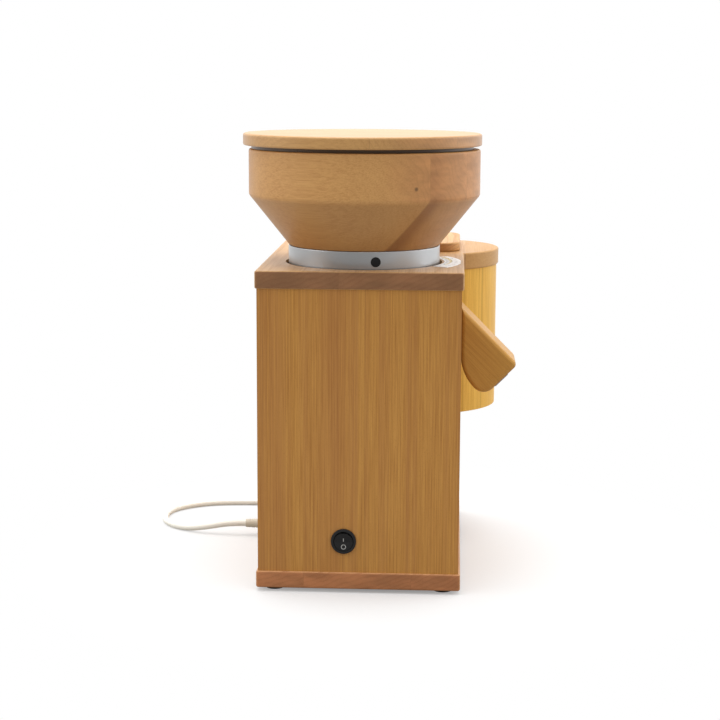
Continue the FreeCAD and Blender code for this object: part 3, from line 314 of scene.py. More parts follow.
def wood(name, light, dark, end, turn, fibres, strips=None, ring=0.0026, tilt=35.0, contrast=1.0,
         gloss=0.40, streak=1.0, move=(0, 0, 0), coat=0.06, wander=3.6, lane_turn=0.0, shine=0.30,
         extra=None):
    """Oiled wood. fibres is the direction of the fibres in the room and turn brings it to X. strips is
    (width, shift, first) of the glued strips across the fibres, ring is the width of a year's growth and
    wander is how far the growth lines stray. extra is a function that changes the colour once more: it
    gets the finish, the colour, the point and the strip that the point is in."""
    made = Finish(name, IOR=1.45, Coat_Roughness=0.35, Coat_IOR=1.45, Specular_IOR_Level=shine)
    spot = made.place(turn, move)
    along, across, height = made.parts(spot)
    if strips:
        sweep = math.radians(lane_turn)
        lane = (across * math.cos(sweep) + height * math.sin(sweep) + strips[1]) / strips[0]
        strip = lane.floor().at_least(strips[2])
        chance = made.node("ShaderNodeTexWhiteNoise", {"noise_dimensions": "1D"}, {"W": strip * 1.37 + 4.2})
        other = made.node("ShaderNodeTexWhiteNoise", {"noise_dimensions": "1D"}, {"W": strip * 2.11 + 9.7})
        seam = (lane.fraction() - 0.5).size().band(0.5 - GLUE_LINE / 2 / strips[0], 0.5)
        seam = seam * lane.band(strips[2] + 0.4, strips[2] + 0.6)
    else:
        chance = made.node("ShaderNodeValue")
        chance.socket.default_value = 0.5
        other = chance
        lane = seam = None
    shifted = made.join(along + chance * 0.7, across + other * 0.31, height)

    lean = math.radians(tilt)
    stray = made.noise(shifted, (5.0, 26.0, 26.0), 2.0)
    slant = (chance - 0.5) * 0.9
    layer = across * math.sin(lean) + height * math.cos(lean) + across * slant
    years = (layer / ring + stray * wander).fraction()
    late = years.band(0.45, 0.95) * (1 - years.band(0.955, 1.0))

    broad = made.noise(shifted, (3.2, 62.0, 62.0), 3.0, 0.6)
    fine = made.noise(shifted, (14.0, 900.0, 900.0), 4.0, 0.62)
    hair = made.noise(shifted, (34.0, 2600.0, 2600.0), 2.0, 0.5)
    fleck_field = made.node("ShaderNodeTexVoronoi", {"feature": "F1", "distance": "EUCLIDEAN"},
                            {"Vector": made.stretch(shifted, (240.0, 1500.0, 1500.0)), "Scale": 1.0,
                             "Randomness": 1.0})
    fleck = 1 - fleck_field.band(0.10, 0.24)

    tone = late * (0.34 * contrast) + (broad - 0.5) * (1.5 * contrast) + (fine - 0.5) * (1.15 * streak)
    tone = tone + (hair - 0.5) * (0.5 * streak) + (chance - 0.5) * (0.42 * contrast) + 0.36
    tone = tone.band(0.0, 1.0)
    colour = made.blend(tone, light, dark)
    colour = made.blend(fleck * 0.34, colour, tuple(0.62 * c for c in dark))
    facing = made.node("ShaderNodeNewGeometry", out="Normal")
    end_grain = made.measure("DOT_PRODUCT", facing, fibres).size().band(0.55, 0.95)
    pores = made.noise(spot, (1400.0, 1400.0, 1400.0), 2.0)
    patch = made.noise(shifted, (16.0, 30.0, 90.0), 2.0)
    end_share = (pores * 0.4 + late * 0.10 + patch * 1.5).band(0.55, 1.35)
    end_tone = made.blend(end_share, tuple(1.3 * c for c in end), tuple(0.82 * c for c in end))
    colour = made.blend(end_grain * 0.85, colour, end_tone)
    if seam:
        colour = made.blend(seam * 0.3, colour, tuple(0.5 * c for c in dark))
    if extra:
        colour = extra(made, colour, spot, lane)
    blotch = made.noise(spot, (17.0, 17.0, 17.0), 2.0)
    made.feed(Base_Color=colour, Roughness=blotch * 0.16 + (gloss - 0.08) + tone * 0.08,
              Normal=made.bump(fine * 0.5 + hair * 0.25 - fleck * 0.5 - late * 0.3, 0.00006, 0.55),
              Coat_Weight=blotch * 0.1 + coat)
    print(name, "ring", ring, "strips", strips)
    return made.material


def dress(material, *names):
    """Gives a material to CAD nodes."""
    for name in names:
        slots = nodes[name].data.materials
        slots.clear()
        slots.append(material)


UPRIGHT = (0, 90, 0)
DEEP = (0, 0, -90)
CAP_START = FRONT_EDGE + 0.0036
CAP_SEAM = 0.0006


def red_columns(made, colour, spot, lane):
    """Upright columns of redder wood between the golden ones."""
    column = made.noise(spot, (0.6, 46.0, 46.0), 2.0)
    narrow = made.noise(spot, (1.2, 420.0, 420.0), 2.0)
    return made.blend((column * 0.6 + narrow * 0.4).band(0.40, 0.64) * 0.42, colour, (0.400, 0.160, 0.052))


def board_cap_painted_light(made, colour, spot, lane):
    """The board's cap over the lobe, in front of the front wall, is painted lighter gold: painted light."""
    across = made.parts(spot)[1]
    cap = (-1 * across).band(CAP_START, CAP_START + CAP_SEAM)
    fibre = made.noise(spot, (14.0, 700.0, 700.0), 4.0, 0.62)
    # Painted light: the lighter gold stands for the light that falls on the cap from the machine's front.
    cap_painted_light = made.blend(fibre, (0.62, 0.36, 0.120), (0.42, 0.200, 0.055))
    return made.blend(cap * 0.85, colour, cap_painted_light)


wall_wood = wood("oiled_wall_wood", (0.625, 0.310, 0.072), (0.405, 0.166, 0.032), (0.30, 0.12, 0.03), UPRIGHT,
                 (0, 0, 1), (0.065, 0.0905, -40), ring=0.0013, tilt=62.0, contrast=0.42, streak=1.35,
                 wander=1.5, lane_turn=45.0, extra=red_columns)
# Painted light: the lobe wall is the walls' wood, painted lighter and yellower for the light from the
# machine's front.
lobe_wood_painted_light = wood("oiled_lobe_wood_painted_light", (0.86, 0.510, 0.100), (0.62, 0.315, 0.050), (0.40, 0.17, 0.04), UPRIGHT,
                 (0, 0, 1), (0.034, 0.0, -40), ring=0.0013, tilt=52.0, contrast=0.42, streak=1.3,
                 wander=1.5, lane_turn=45.0, coat=0.0, shine=0.15)
board_wood = wood("oiled_board_wood", (0.62, 0.375, 0.160), (0.42, 0.215, 0.082), (0.240, 0.104, 0.049), DEEP,
                  (0, 1, 0), (0.096, 0.063, -40), ring=0.0042, tilt=28.0, contrast=0.6, extra=board_cap_painted_light)
base_wood = wood("oiled_base_wood", (0.66, 0.35, 0.15), (0.430, 0.185, 0.070), (0.430, 0.165, 0.066), DEEP,
                 (0, 1, 0), (0.0979, 0.0335, -40), ring=0.0042, tilt=24.0, contrast=0.8)
cap_wood = wood("oiled_cap_wood", (0.66, 0.385, 0.140), (0.46, 0.220, 0.068), (0.36, 0.165, 0.055), DEEP,
                (0, 1, 0), None, ring=0.0036, tilt=25.0)
spout_wood = wood("oiled_spout_wood", (0.60, 0.325, 0.076), (0.40, 0.180, 0.038), (0.40, 0.150, 0.034),
                  (0, -45, 0), (0.7071, 0, -0.7071), None, ring=0.0062, tilt=20.0, contrast=0.24, streak=1.0,
                  wander=6.0, coat=0.0, shine=0.18)
inner_wood = wood("sawn_batten_wood", (0.72, 0.52, 0.32), (0.55, 0.36, 0.19), (0.5, 0.32, 0.17), UPRIGHT,
                  (0, 0, 1), None, coat=0.0, gloss=0.6)
dress(wall_wood, "near_wall", "far_wall", "rear_wall", "front_wall")
dress(lobe_wood_painted_light, "lobe_wall")
dress(board_wood, "top_board", "lobe_floor")
dress(base_wood, "base_board")
dress(cap_wood, "flaker_lid")
dress(spout_wood, "spout_block")
dress(inner_wood, "corner_posts")

# %% [markdown]
# ## The hopper and its lid
# The hopper is glued up from wide boards and turned on a lathe. Its fibres lie level, a little askew to the
# side that the camera sees, so one glue line shows at the right and runs across the cone. The frame's bowl
# has the right shape. It is made again here as a turned surface with finer steps, so that its knee and rim
# shade softly, with faint rings that the turning tool left. First come its sizes and its wood.

# %% Hopper
BOWL_TURN = -27.0
t = math.radians(BOWL_TURN)
bowl_fibres = (math.cos(t), math.sin(t), 0.0)

bowl_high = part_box("hopper_bowl")[1]
BOWL_R = 0.1068
FOOT_R = 0.0695
WALL = 0.009
THROAT = 0.024
THROAT_DEEP = 0.007
KNEE = RING_TOP + 0.0465
RIM = bowl_high.z
INNER = BOWL_R - WALL

lid_low, lid_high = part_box("hopper_lid")
LID_R = (lid_high.x - lid_low.x) / 2
LID_TOP = lid_high.z
LID_UNDER = LID_TOP - 0.011
STEP_UNDER = LID_UNDER - 0.0033
STEP_R = 0.1024
TENON_R = 0.095

KNOT_SIDE = math.radians(-62.0 - BOWL_TURN)
KNOT = (BOWL_R * math.cos(KNOT_SIDE), BOWL_R * math.sin(KNOT_SIDE), KNEE + 0.011)
CONE_SHADE = (0.30, 0.150, 0.066)
REDDISH = (0.235, 0.088, 0.036)


def hopper_marks_and_cone_shade(made, colour, spot, lane):
    """The cone is painted a little browner than the belly, as painted shade. A reddish stripe runs beside the
    glue line, strongest on the cone, and there is one small dark pin knot."""
    z = made.parts(spot)[2]
    # Painted shade: the cone below the knee is blended three tenths of the way to a darker brown.
    cone = z.band(KNEE - 0.004, KNEE, 1.0, 0.0)
    colour = made.blend(cone * 0.30, colour, CONE_SHADE)
    lower = z.band(KNEE - 0.0045, KNEE + 0.0055, 1.0, 0.35)
    stripe = lane.band(-0.02, 0.03) * lane.band(0.10, 0.42, 1.0, 0.0) * lower
    colour = made.blend(stripe * 0.62, colour, REDDISH)
    knot = made.measure("DISTANCE", spot, KNOT).band(0.0006, 0.0026, 1.0, 0.0)
    return made.blend(knot * 0.75, colour, (0.10, 0.06, 0.03))


def painted_step_shadow(made, colour, spot, lane):
    """The lid's step and what lies under it are painted near-black as the rim's shadow: a painted
    shadow, which stays when the lid is lifted.
    """
    x, y, z = made.parts(spot)
    radius = (x * x + y * y) ** 0.5
    # Painted shadow: under the lid's underside and inside the step's edge, the wood is blended nine tenths to
    # near-black.
    step_shadow = z.band(LID_UNDER - 0.0001, LID_UNDER + 0.0002, 1.0, 0.0)
    step_shadow = step_shadow * radius.band(STEP_R + 0.0016, STEP_R + 0.0031, 1.0, 0.0)
    return made.blend(step_shadow * 0.9, colour, (0.055, 0.038, 0.022))


hopper_wood = wood("turned_hopper_wood", (0.69, 0.378, 0.137), (0.51, 0.242, 0.077), (0.47, 0.215, 0.082),
                   (0, 0, -BOWL_TURN), bowl_fibres, (0.0467, 0.0492, -1), ring=0.0058, tilt=58.0,
                   contrast=0.26, move=(-AXIS[0], -AXIS[1], 0), wander=6.0, streak=1.1, extra=hopper_marks_and_cone_shade)
lid_wood = wood("turned_lid_wood", (0.64, 0.360, 0.130), (0.47, 0.235, 0.075), (0.45, 0.22, 0.085),
                (0, 0, -BOWL_TURN), bowl_fibres, (0.072, 0.021, -40), ring=0.0034, tilt=62.0,
                contrast=0.4, move=(-AXIS[0], -AXIS[1], 0), coat=0.45, extra=painted_step_shadow)

# %% [markdown]
# Its outline is the bowl's wall as seven corners, each rounded by its own radius. The belly is very slightly
# full, and the tool's rings are a sine on height, two hundredths of a millimetre to either side.

# %% Hopper shapes
bowl_corners = [(THROAT, RING_TOP), (FOOT_R, RING_TOP), (BOWL_R, KNEE), (BOWL_R, RIM), (INNER, RIM),
                (INNER, KNEE - 0.4 * WALL), (THROAT, RING_TOP + THROAT_DEEP)]
BELLY = 0.0004
TOOL_DEEP = 0.00002
TOOL_STEP = 0.0017
profile = rounded(bowl_corners, [0.0006, 0.003, 0.005, 0.0018, 0.0012, 0.004, 0.0015])
belly = np.where((profile[:, 0] > BOWL_R - BELLY) & (profile[:, 1] > KNEE), 1.0, 0.0)
height_share = np.clip((profile[:, 1] - KNEE) / (RIM - KNEE), 0, 1)
profile[:, 0] += belly * BELLY * np.sin(math.pi * height_share)


def finer(profile, longest):
    """Puts evenly spaced points on each run of a closed profile that is longer than one step."""
    following = np.roll(profile, -1, axis=0)
    runs = [np.linspace(a, b, max(1, int(np.ceil(np.linalg.norm(b - a) / longest))), endpoint=False)
            for a, b in zip(profile, following)]
    return np.concatenate(runs)


profile = finer(profile, 0.0022)
tool_rings = TOOL_DEEP * np.sin(profile[:, 1] * 2 * math.pi / TOOL_STEP)
outside = (profile[:, 1] > RING_TOP + 0.004) & (profile[:, 1] < RIM - 0.003)
profile[:, 0] += np.where(outside, tool_rings, 0.0)
bowl = turned("hopper_turned", profile, AXIS, "hopper_unit", loop=True, soften=50.0)
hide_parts("hopper_bowl")
bowl.data.materials.append(hopper_wood)

lid_axis = middle("hopper_lid")[:2]
lid_corners = [(0, LID_TOP), (LID_R, LID_TOP), (LID_R, LID_UNDER), (STEP_R, LID_UNDER), (STEP_R, STEP_UNDER),
               (TENON_R, STEP_UNDER), (TENON_R, lid_low.z), (0, lid_low.z)]
lid_profile = rounded(lid_corners, [0, 0.0022, 0.0016, 0, 0.0004, 0, 0.001, 0])
lid = turned("hopper_lid_turned", lid_profile, lid_axis, "hopper_lid_body")
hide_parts("hopper_lid")
lid.data.materials.append(lid_wood)

# %% [markdown]
# ## Metal, stone, rubber and plastic
# The adjusting ring is satin turned aluminium: its fine tool lines run round it, so the bump is a noise on
# height and radius only, worked out from the distance to the mill's axis. Cast, ground and plated metal,
# corundum stone, black gloss plastic and rubber each get a grain of their own real size.

# %% Metal and plastic finishes


def around_axis(made, centre):
    """Radius and height of the point about an upright axis."""
    spot = made.place(move=(-centre[0], -centre[1], 0))
    x, y, z = made.parts(spot)
    radius = (x * x + y * y) ** 0.5
    return spot, radius, z


def satin_turned(name, colour, centre):
    """Metal off the lathe: lines that run round an upright axis, and a soft uneven sheen."""
    made = Finish(name, Metallic=1.0)
    spot, radius, z = around_axis(made, centre)
    lines = made.noise(made.join(radius, 0.0, z), (9000.0, 1.0, 9000.0), 3.0, 0.6)
    patch = made.noise(spot, (30.0, 30.0, 30.0), 3.0)
    tone = made.blend(patch, colour, tuple(0.84 * c for c in colour))
    made.feed(Base_Color=tone, Roughness=lines * 0.14 + patch * 0.08 + 0.24,
              Normal=made.bump(lines, 0.00003, 0.35))
    return made.material


def plain_metal(name, colour, rough, grain, depth, metallic=1.0):
    """A surface with a grit of its own size: cast, ground, plated or painted metal, stone or felt."""
    made = Finish(name, Metallic=metallic)
    spot = made.place()
    grit = made.noise(spot, (grain, grain, grain), 4.0, 0.6)
    patch = made.noise(spot, (42.0, 42.0, 42.0), 3.0)
    tone = made.blend(patch * 0.7 + grit * 0.3, colour, tuple(0.72 * c for c in colour))
    made.feed(Base_Color=tone, Roughness=grit * 0.16 + patch * 0.1 + (rough - 0.12),
              Normal=made.bump(grit, depth, 0.5))
    return made.material


def moulded(name, colour, rough, depth=0.00002, wear=0.9):
    """Moulded plastic or rubber: fine spark-eroded grain and a little uneven sheen."""
    made = Finish(name, IOR=1.45, Specular_IOR_Level=0.3)
    spot = made.place()
    grain = made.noise(spot, (2600.0, 2600.0, 2600.0), 3.0, 0.6)
    haze = made.noise(spot, (120.0, 120.0, 120.0), 3.0)
    tone = made.blend(haze * 0.8 + grain * 0.2, colour, tuple(wear * c for c in colour))
    made.feed(Base_Color=tone, Roughness=grain * 0.1 + haze * 0.08 + (rough - 0.08),
              Normal=made.bump(grain, depth, 0.4))
    return made.material


ring_metal = satin_turned("satin_turned_aluminium", (0.53, 0.54, 0.55), AXIS)
cast_metal = plain_metal("cast_aluminium", (0.62, 0.62, 0.61), 0.52, 1500.0, 0.00012)
ground_steel = plain_metal("ground_steel", (0.56, 0.56, 0.57), 0.33, 3200.0, 0.00003)
plated_sheet = plain_metal("zinc_plated_sheet", (0.66, 0.67, 0.66), 0.40, 900.0, 0.00002)
brass = plain_metal("turned_brass", (0.72, 0.52, 0.24), 0.34, 2200.0, 0.00003)
painted = plain_metal("grey_motor_paint", (0.085, 0.09, 0.10), 0.5, 1300.0, 0.00008, metallic=0.0)
varnish = plain_metal("varnished_windings", (0.42, 0.18, 0.07), 0.4, 1100.0, 0.0002, metallic=0.3)
grit_stone = plain_metal("corundum_stone", (0.74, 0.71, 0.66), 0.85, 1700.0, 0.0004, metallic=0.0)
felt = plain_metal("pressed_felt", (0.55, 0.52, 0.45), 0.95, 2400.0, 0.0003, metallic=0.0)
black_gloss = moulded("black_gloss_plastic", (0.010, 0.010, 0.011), 0.30, wear=1.6)
black_matt = moulded("black_matt_rubber", (0.022, 0.021, 0.020), 0.72, depth=0.00006, wear=1.8)
grey_matt = moulded("grey_matt_plastic", (0.34, 0.335, 0.33), 0.5)
cream = moulded("cream_plastic", (0.72, 0.67, 0.55), 0.42)

dress(ring_metal, "adjusting_ring")
dress(cast_metal, "mill_housing", "lower_stone_carrier", "upper_stone_carrier")
dress(ground_steel, "motor_rotor", "upper_bearing", "lower_bearing", "drive_roller", "driven_roller",
      "drive_gear", "driven_gear", "flaker_pinion")
dress(plated_sheet, "capacitor_clip", "flaker_frame", "flaker_funnel", "flake_chute", "base_screws",
      "housing_screws")
dress(brass, "roller_bushes", "drive_wheel")
dress(painted, "motor_can", "motor_end_plate", "flaker_motor")
dress(varnish, "motor_stator")
dress(grit_stone, "upper_stone", "lower_stone")
dress(felt, "shaft_seal")
dress(black_gloss, "mill_switch_body", "mill_switch_rocker", "flaker_switch_body", "flaker_switch_rocker",
      "ring_plug", "motor_fan")
dress(black_matt, "foot_rear_near", "foot_front_near", "foot_rear_far", "foot_front_far")
dress(grey_matt, "spout_liner", "motor_capacitor")
dress(cream, "terminal_block", "strain_relief", "plug")

# %% [markdown]
# ## The scale
# A white printed sheet lies beside the ring, with plain numbers, short marks and a straw-coloured wedge that
# widens round the ring, with an olive line along its wide part. The marks are thin meshes that stand less
# than a tenth of a millimetre on the sheet: boxes on a ring, from two radii and two angles each, all worked
# out in one array. The numbers are text turned to mesh.

# %% Scale
SCALE_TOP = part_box("scale_label")[1].z
MARK = 0.00008
label_white = moulded("white_printed_sheet", (0.96, 0.97, 0.97), 0.3, wear=0.97)
ink_grey = moulded("grey_ink", (0.34, 0.34, 0.33), 0.4)
ink_olive = moulded("olive_ink", (0.30, 0.28, 0.08), 0.4)
ink_straw = moulded("straw_ink", (0.80, 0.68, 0.36), 0.4)
dress(label_white, "scale_label")


def sector_marks(name, inner, outer, starts, ends, material):
    """Flat marks on a ring: each has an inner and an outer radius, a start and an end angle, in degrees."""
    sizes = np.broadcast_arrays(inner, outer, starts, ends)
    inner, outer, starts, ends = [np.asarray(size, float) for size in sizes]
    a0 = np.radians(starts)
    a1 = np.radians(ends)
    corners = []
    for radius, angle in ((inner, a0), (outer, a0), (outer, a1), (inner, a1)):
        corners.append(np.stack([AXIS[0] + radius * np.cos(angle), AXIS[1] + radius * np.sin(angle)], -1))
    flat = np.stack(corners, 1)
    low = np.concatenate([flat, np.full((*flat.shape[:2], 1), SCALE_TOP)], -1)
    high = np.concatenate([flat, np.full((*flat.shape[:2], 1), SCALE_TOP + MARK)], -1)
    points = np.concatenate([low, high], 1).reshape(-1, 3)
    box = np.array([[3, 2, 1, 0], [4, 5, 6, 7], [0, 1, 5, 4], [1, 2, 6, 5], [2, 3, 7, 6], [3, 0, 4, 7]])
    faces = (np.arange(len(flat))[:, None, None] * 8 + box).reshape(-1, 4)
    piece = mesh_piece(name, points, faces, "root")
    piece.data.materials.append(material)
    return piece


TICK_IN = 0.0762
TICK_LONG = 0.0030
TICK_SHORT = 0.0018
TICK_HALF = 0.28
tick_at = np.arange(-26.0, 26.1, 4.0)
tick_out = TICK_IN + np.where(np.arange(len(tick_at)) % 2 == 0, TICK_LONG, TICK_SHORT)
sector_marks("scale_ticks", TICK_IN, tick_out, tick_at - TICK_HALF, tick_at + TICK_HALF, ink_grey)

WEDGE_IN = 0.0797
LINE_WIDE = 0.0004
wedge_at = np.linspace(-20.0, 27.0, 48)
wedge_out = WEDGE_IN + np.linspace(0.0006, 0.0036, len(wedge_at) - 1)
sector_marks("scale_wedge", WEDGE_IN, wedge_out, wedge_at[:-1], wedge_at[1:], ink_straw)
line_at = np.linspace(-4.0, 27.0, 32)
line_in = np.interp(line_at[:-1], wedge_at[:-1], wedge_out)
sector_marks("scale_wedge_line", line_in, line_in + LINE_WIDE, line_at[:-1], line_at[1:], ink_olive)


def number(text, angle, radius, size):
    """A numeral on the scale that reads from the front, as a thin mesh."""
    curve = bpy.data.curves.new("scale_number_" + text, "FONT")
    curve.body = text
    curve.size = size
    curve.align_x = "CENTER"
    curve.align_y = "CENTER"
    curve.extrude = MARK / 2
    holder = bpy.data.objects.new("holder", curve)
    bpy.context.scene.collection.objects.link(holder)
    bpy.context.view_layer.update()
    mesh = bpy.data.meshes.new_from_object(holder.evaluated_get(bpy.context.evaluated_depsgraph_get()))
    bpy.data.objects.remove(holder)
    a = math.radians(angle)
    spot = Matrix.Translation((AXIS[0] + radius * math.cos(a), AXIS[1] + radius * math.sin(a),
                               SCALE_TOP + MARK / 2))
    mesh.transform(spot @ Matrix.Rotation(a + math.pi / 2, 4, "Z"))
    piece = bpy.data.objects.new("scale_number_" + text, mesh)
    bpy.context.scene.collection.objects.link(piece)
    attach(piece, "root")
    mesh.materials.clear()
    mesh.materials.append(ink_grey)
    return piece


NUMBER_R = 0.0860
NUMBER_SIZE = 0.0040
for i, angle in enumerate(range(-22, 19, 8)):
    number(str(i + 1), angle, NUMBER_R, NUMBER_SIZE)

# %% [markdown]
# ## Switch marks
# A round rocker has a short bar for on and a ring for off. They are printed on the rocker, so they ride on
# its body and lie on its tilted faces: the face is a shallow V about the pivot, and the height of the mark
# over it follows the same two slopes.

# %% Switch marks
ink_white = moulded("pale_switch_print", (0.62, 0.62, 0.60), 0.45)
ROCKER_R = 0.0086
TILT = math.radians(8.0)
PIVOT_DEEP = 0.001
FACE_DEEP = 0.0015
FACE_FALL = 0.0011
PRINT = 0.00006
BEZEL = 0.0022
RING_OUT = 0.00225
RING_IN = 0.00175
RING_BELOW = 0.0047
RING_STEPS = 48
BAR_HALF = 0.00032
BAR_LOW = 0.0004
BAR_HIGH = 0.0036


def rocker_face(z):
    """Depth of the rocker's face at height z above the pivot, before it is tilted."""
    return -FACE_DEEP - FACE_FALL * np.abs(z) / ROCKER_R


def switch_marks(name, node, body, side):
    """Bar and ring on a rocker. side is 1 on the near wall and -1 on the far wall."""
    around = np.linspace(0, 2 * math.pi, RING_STEPS, endpoint=False)
    ring_x = np.concatenate([RING_OUT * np.cos(around), RING_IN * np.cos(around)])
    ring_z = np.concatenate([RING_OUT * np.sin(around), RING_IN * np.sin(around)]) - RING_BELOW
    bar_x = np.array([-BAR_HALF, BAR_HALF, BAR_HALF, -BAR_HALF])
    bar_z = np.array([BAR_LOW, BAR_LOW, BAR_HIGH, BAR_HIGH])
    x = np.concatenate([ring_x, bar_x])
    z = np.concatenate([ring_z, bar_z])
    flat_y = rocker_face(z) - PRINT - PIVOT_DEEP
    tilted_y = flat_y * math.cos(TILT) - z * math.sin(TILT) + PIVOT_DEEP
    tilted_z = flat_y * math.sin(TILT) + z * math.cos(TILT)
    low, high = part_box(node)
    face_y = low.y + BEZEL if side > 0 else high.y - BEZEL
    centre = middle(node)
    points = np.stack([centre[0] + side * x, face_y + side * tilted_y, centre[2] + tilted_z], -1)
    i = np.arange(RING_STEPS)
    j = (i + 1) % RING_STEPS
    ring_faces = np.stack([i, j, j + RING_STEPS, i + RING_STEPS], -1)
    faces = np.concatenate([ring_faces, [2 * RING_STEPS + np.arange(4)]])
    piece = mesh_piece(name, points, faces, body)
    piece.data.materials.append(ink_white)
    return piece


switch_marks("mill_switch_marks", "mill_switch_body", "mill_rocker", 1)
switch_marks("flaker_switch_marks", "flaker_switch_body", "flaker_rocker", -1)

# %% [markdown]
# ## The mains lead
# A lead is one flexible round tube, so it is one NURBS curve from the strain relief to the plug: loose
# points, given one by one, down to the floor and along it, then the put-away coil, which is a spiral in and
# out again in two layers. The curve's order is set after its points, because set before it would fall back to
# straight runs. The tube's radius is each point's own, with a bevel of one: Blender's box of a curve grows by
# the points' radius.

# %% Mains lead
CORD_R = 0.00325
relief_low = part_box("strain_relief")[0]
EXIT = np.array([relief_low.x, middle("strain_relief")[1], middle("strain_relief")[2]])
LOOSE = np.array([(0.0, 0.0, 12.5), (-17.0, 0.0, 12.5), (-40.0, 2.5, 7.4), (-64.0, 9.5, 3.25),
                  (-86.0, 28.0, 3.25), (-93.8, 57.0, 3.25), (-89.0, 86.0, 3.25), (-67.0, 108.0, 3.25),
                  (-39.0, 119.5, 3.25)]) * MM
COIL_OUT = 0.0475
COIL_STEP = 0.007
COIL_TURNS = 2.75
coil_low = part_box("cord_coil")[0]
COIL_AT = np.array([middle("cord_coil")[0], coil_low.y + COIL_OUT + CORD_R])


def coil_line(angle):
    """Radius falls by one step a turn, eases through half a turn while it climbs a layer, and grows again."""
    inward = 2 * math.pi * COIL_TURNS
    rate = COIL_STEP / (2 * math.pi)
    inner = COIL_OUT - COIL_STEP * COIL_TURNS
    part = np.clip(angle - inward, 0, math.pi)
    radius = np.where(angle < inward, COIL_OUT - rate * angle,
                      np.where(angle < inward + math.pi, inner - rate * np.sin(part),
                               inner + rate * (angle - inward - math.pi)))
    height = CORD_R + COIL_STEP * (1 - np.cos(part)) / 2
    place = angle - math.pi / 2
    return np.stack([COIL_AT[0] + radius * np.cos(place), COIL_AT[1] + radius * np.sin(place), height], -1)


coil_angles = np.linspace(0, 2 * math.pi * COIL_TURNS * 2 + math.pi, 16 * 6 + 1)
turns = coil_line(coil_angles)
level = COIL_AT[1] - COIL_OUT
loose = LOOSE + np.array([EXIT[0], EXIT[1], 0])
before_coil = np.array([[COIL_AT[0] - 0.0425, level, CORD_R], [COIL_AT[0] - 0.0065, level, CORD_R]])
plug_low, plug_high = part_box("plug")
plug_entry = np.array([plug_low.x, (plug_low.y + plug_high.y) / 2, (plug_low.z + plug_high.z) / 2])
z_up = CORD_R + COIL_STEP
after_coil = np.array([[COIL_AT[0] + 0.0065, level, z_up], [COIL_AT[0] + 0.0265, level, z_up],
                       [COIL_AT[0] + 0.0485, level + 0.006, z_up + 0.004],
                       plug_entry - (0.020, 0, 0), plug_entry])
route = np.concatenate([loose, before_coil, turns[1:-1], after_coil])

lead_curve = bpy.data.curves.new("mains_lead", "CURVE")
lead_curve.dimensions = "3D"
spline = lead_curve.splines.new("NURBS")
spline.points.add(len(route) - 1)
spline.points.foreach_set("co", np.column_stack([route, np.ones(len(route))]).ravel())
spline.points.foreach_set("radius", np.full(len(route), CORD_R))
spline.order_u = 3
spline.use_endpoint_u = True
spline.resolution_u = 8
lead_curve.bevel_depth = 1.0
lead_curve.bevel_resolution = 6
lead_curve.use_fill_caps = True
lead = bpy.data.objects.new("mains_lead", lead_curve)
bpy.context.scene.collection.objects.link(lead)
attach(lead, "root")
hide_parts("cord", "cord_coil", "cord_tail")

sheath = Finish("pale_cord_sheath", IOR=1.48)
spot = sheath.place()
grain = sheath.noise(spot, (1800.0, 1800.0, 1800.0), 3.0)
dust = sheath.noise(spot, (60.0, 60.0, 60.0), 3.0)
sheath.feed(Base_Color=sheath.blend(dust * 0.8 + grain * 0.2, (0.97, 0.95, 0.87), (0.94, 0.91, 0.82)),
            Roughness=dust * 0.12 + 0.38, Normal=sheath.bump(grain, 0.00003, 0.4))
lead_curve.materials.append(sheath.material)
print("lead points", len(route))

# %% [markdown]
# ## Floor, light and camera
# The photograph was taken on a white sweep with soft light from above. The room is brightest above and
# beyond the machine and falls off below and behind the camera, so the near wall and the cone are the shaded
# sides and the aluminium ring has a grey middle. Three large soft lamps add to it: one overhead, one before
# the machine's front and a weaker one from its rear. The floor is white where the camera sees it and still
# keeps the soft shadow close to the machine. It sends less light up than white paper would, which keeps
# the cone dark as in the photograph, together with the painted shade on the cone.

# %% Stage
REACH = 1.5
SHADE_NEAR = 0.09
SHADE_FAR = 0.36
NEAR_GLOW = 0.22
MIRRORED = 0.40
PAPER = (0.80, 0.80, 0.80)
BOUNCE = (0.38, 0.37, 0.35)
WHITE = (1, 1, 1, 1)


def bare(owner):
    """Turns on an owner's nodes, empties its tree and gives it as a graph."""
    owner.use_nodes = True
    owner.node_tree.nodes.clear()
    return Graph(owner.node_tree)


floor_mesh = bpy.data.meshes.new("floor")
floor_mesh.from_pydata([(-REACH, -REACH, 0), (REACH, -REACH, 0), (REACH, REACH, 0), (-REACH, REACH, 0)], [],
                       [(0, 1, 2, 3)])
floor = bpy.data.objects.new("floor", floor_mesh)
bpy.context.scene.collection.objects.link(floor)

paper = bpy.data.materials.new("white_sweep")
sweep = bare(paper)
away = sweep.measure("LENGTH", sweep.node("ShaderNodeTexCoord", out="Object"))
seen = sweep.node("ShaderNodeLightPath", out="Is Camera Ray")
mirrored = sweep.node("ShaderNodeLightPath", out="Is Glossy Ray") * MIRRORED
glowing = away.band(SHADE_NEAR, SHADE_FAR, NEAR_GLOW, 1.0) * seen.at_least(mirrored)
lit = sweep.node("ShaderNodeBsdfDiffuse", {}, {"Color": sweep.blend(seen, BOUNCE, PAPER)})
glow = sweep.node("ShaderNodeEmission", {}, {"Color": WHITE})
sweep.node("ShaderNodeOutputMaterial", {}, {0: sweep.mix(glowing, lit, glow)})
floor_mesh.materials.append(paper)

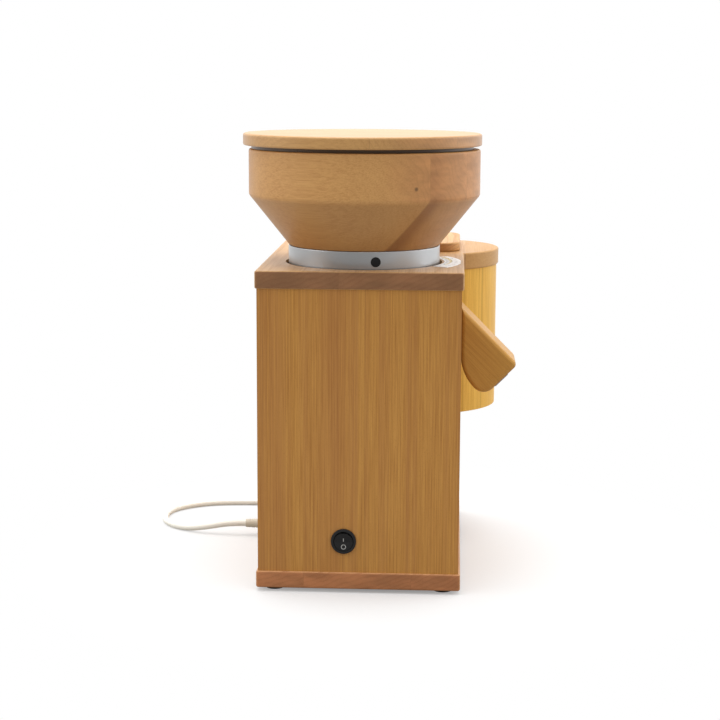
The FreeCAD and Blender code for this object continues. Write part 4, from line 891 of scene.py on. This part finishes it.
scene = bpy.context.scene
world = bpy.data.worlds.new("studio")
scene.world = world
BRIGHT_WAY = (0.20, 0.58, 0.79)
sky = bare(world)
way = sky.node("ShaderNodeTexCoord", out="Generated")
height = sky.measure("DOT_PRODUCT", way, BRIGHT_WAY).band(-0.95, 0.75)
dim, bright, white = [sky.node("ShaderNodeBackground", {}, {"Color": WHITE, "Strength": strength})
                      for strength in (0.20, 1.24, 1.0)]
camera_ray = sky.node("ShaderNodeLightPath", out="Is Camera Ray")
sky.node("ShaderNodeOutputWorld", {}, {0: sky.mix(camera_ray, sky.mix(height, dim, bright), white)})


def soft_lamp(name, place, aim, size, power):
    """A square area lamp that looks at a point."""
    data = bpy.data.lights.new(name, "AREA")
    data.energy = power
    data.size = size
    lamp = bpy.data.objects.new(name, data)
    place = np.array(place, float)
    back = place - np.array(aim, float)
    back /= np.linalg.norm(back)
    side = np.cross((0, 0, 1), back)
    side /= np.linalg.norm(side)
    up = np.cross(back, side)
    turn = np.eye(4)
    turn[:3, :3] = np.column_stack([side, up, back])
    turn[:3, 3] = place
    lamp.matrix_world = Matrix(turn.tolist())
    scene.collection.objects.link(lamp)
    return lamp


soft_lamp("overhead", (-0.1, 0.2, 1.9), (0, 0, 0.3), 1.5, 22.0)
soft_lamp("front_side", (1.7, 0.45, 0.9), (0, 0, 0.25), 1.1, 6.5)
soft_lamp("rear_left", (-1.6, -0.35, 0.9), (0, 0, 0.25), 1.1, 5.5)

# %% [markdown]
# The camera stands where the photograph's corners put it: about 1.6 m away, a little above the hopper and
# turned a few degrees towards the front of the machine. Its numbers are the result of fitting the casing's
# corners and the ring, and its small roll is the photograph's own.

# %% Camera
CAMERA_AT = (0.0673, -1.6274, 0.4677)
YAW = math.radians(-3.114)
PITCH = math.radians(9.608)
ROLL = math.radians(0.259)
forward = np.array([math.sin(YAW) * math.cos(PITCH), math.cos(YAW) * math.cos(PITCH), -math.sin(PITCH)])
level_right = np.array([math.cos(YAW), -math.sin(YAW), 0.0])
level_up = np.cross(level_right, forward)
right = level_right * math.cos(ROLL) + level_up * math.sin(ROLL)
up = -level_right * math.sin(ROLL) + level_up * math.cos(ROLL)
stand = np.eye(4)
stand[:3, :3] = np.column_stack([right, up, -forward])
stand[:3, 3] = CAMERA_AT
camera_data = bpy.data.cameras.new("camera")
camera_data.lens = 85.0
camera_data.sensor_width = 36.0
camera = bpy.data.objects.new("camera", camera_data)
camera.matrix_world = Matrix(stand.tolist())
scene.collection.objects.link(camera)
scene.camera = camera
scene.view_settings.view_transform = "Standard"
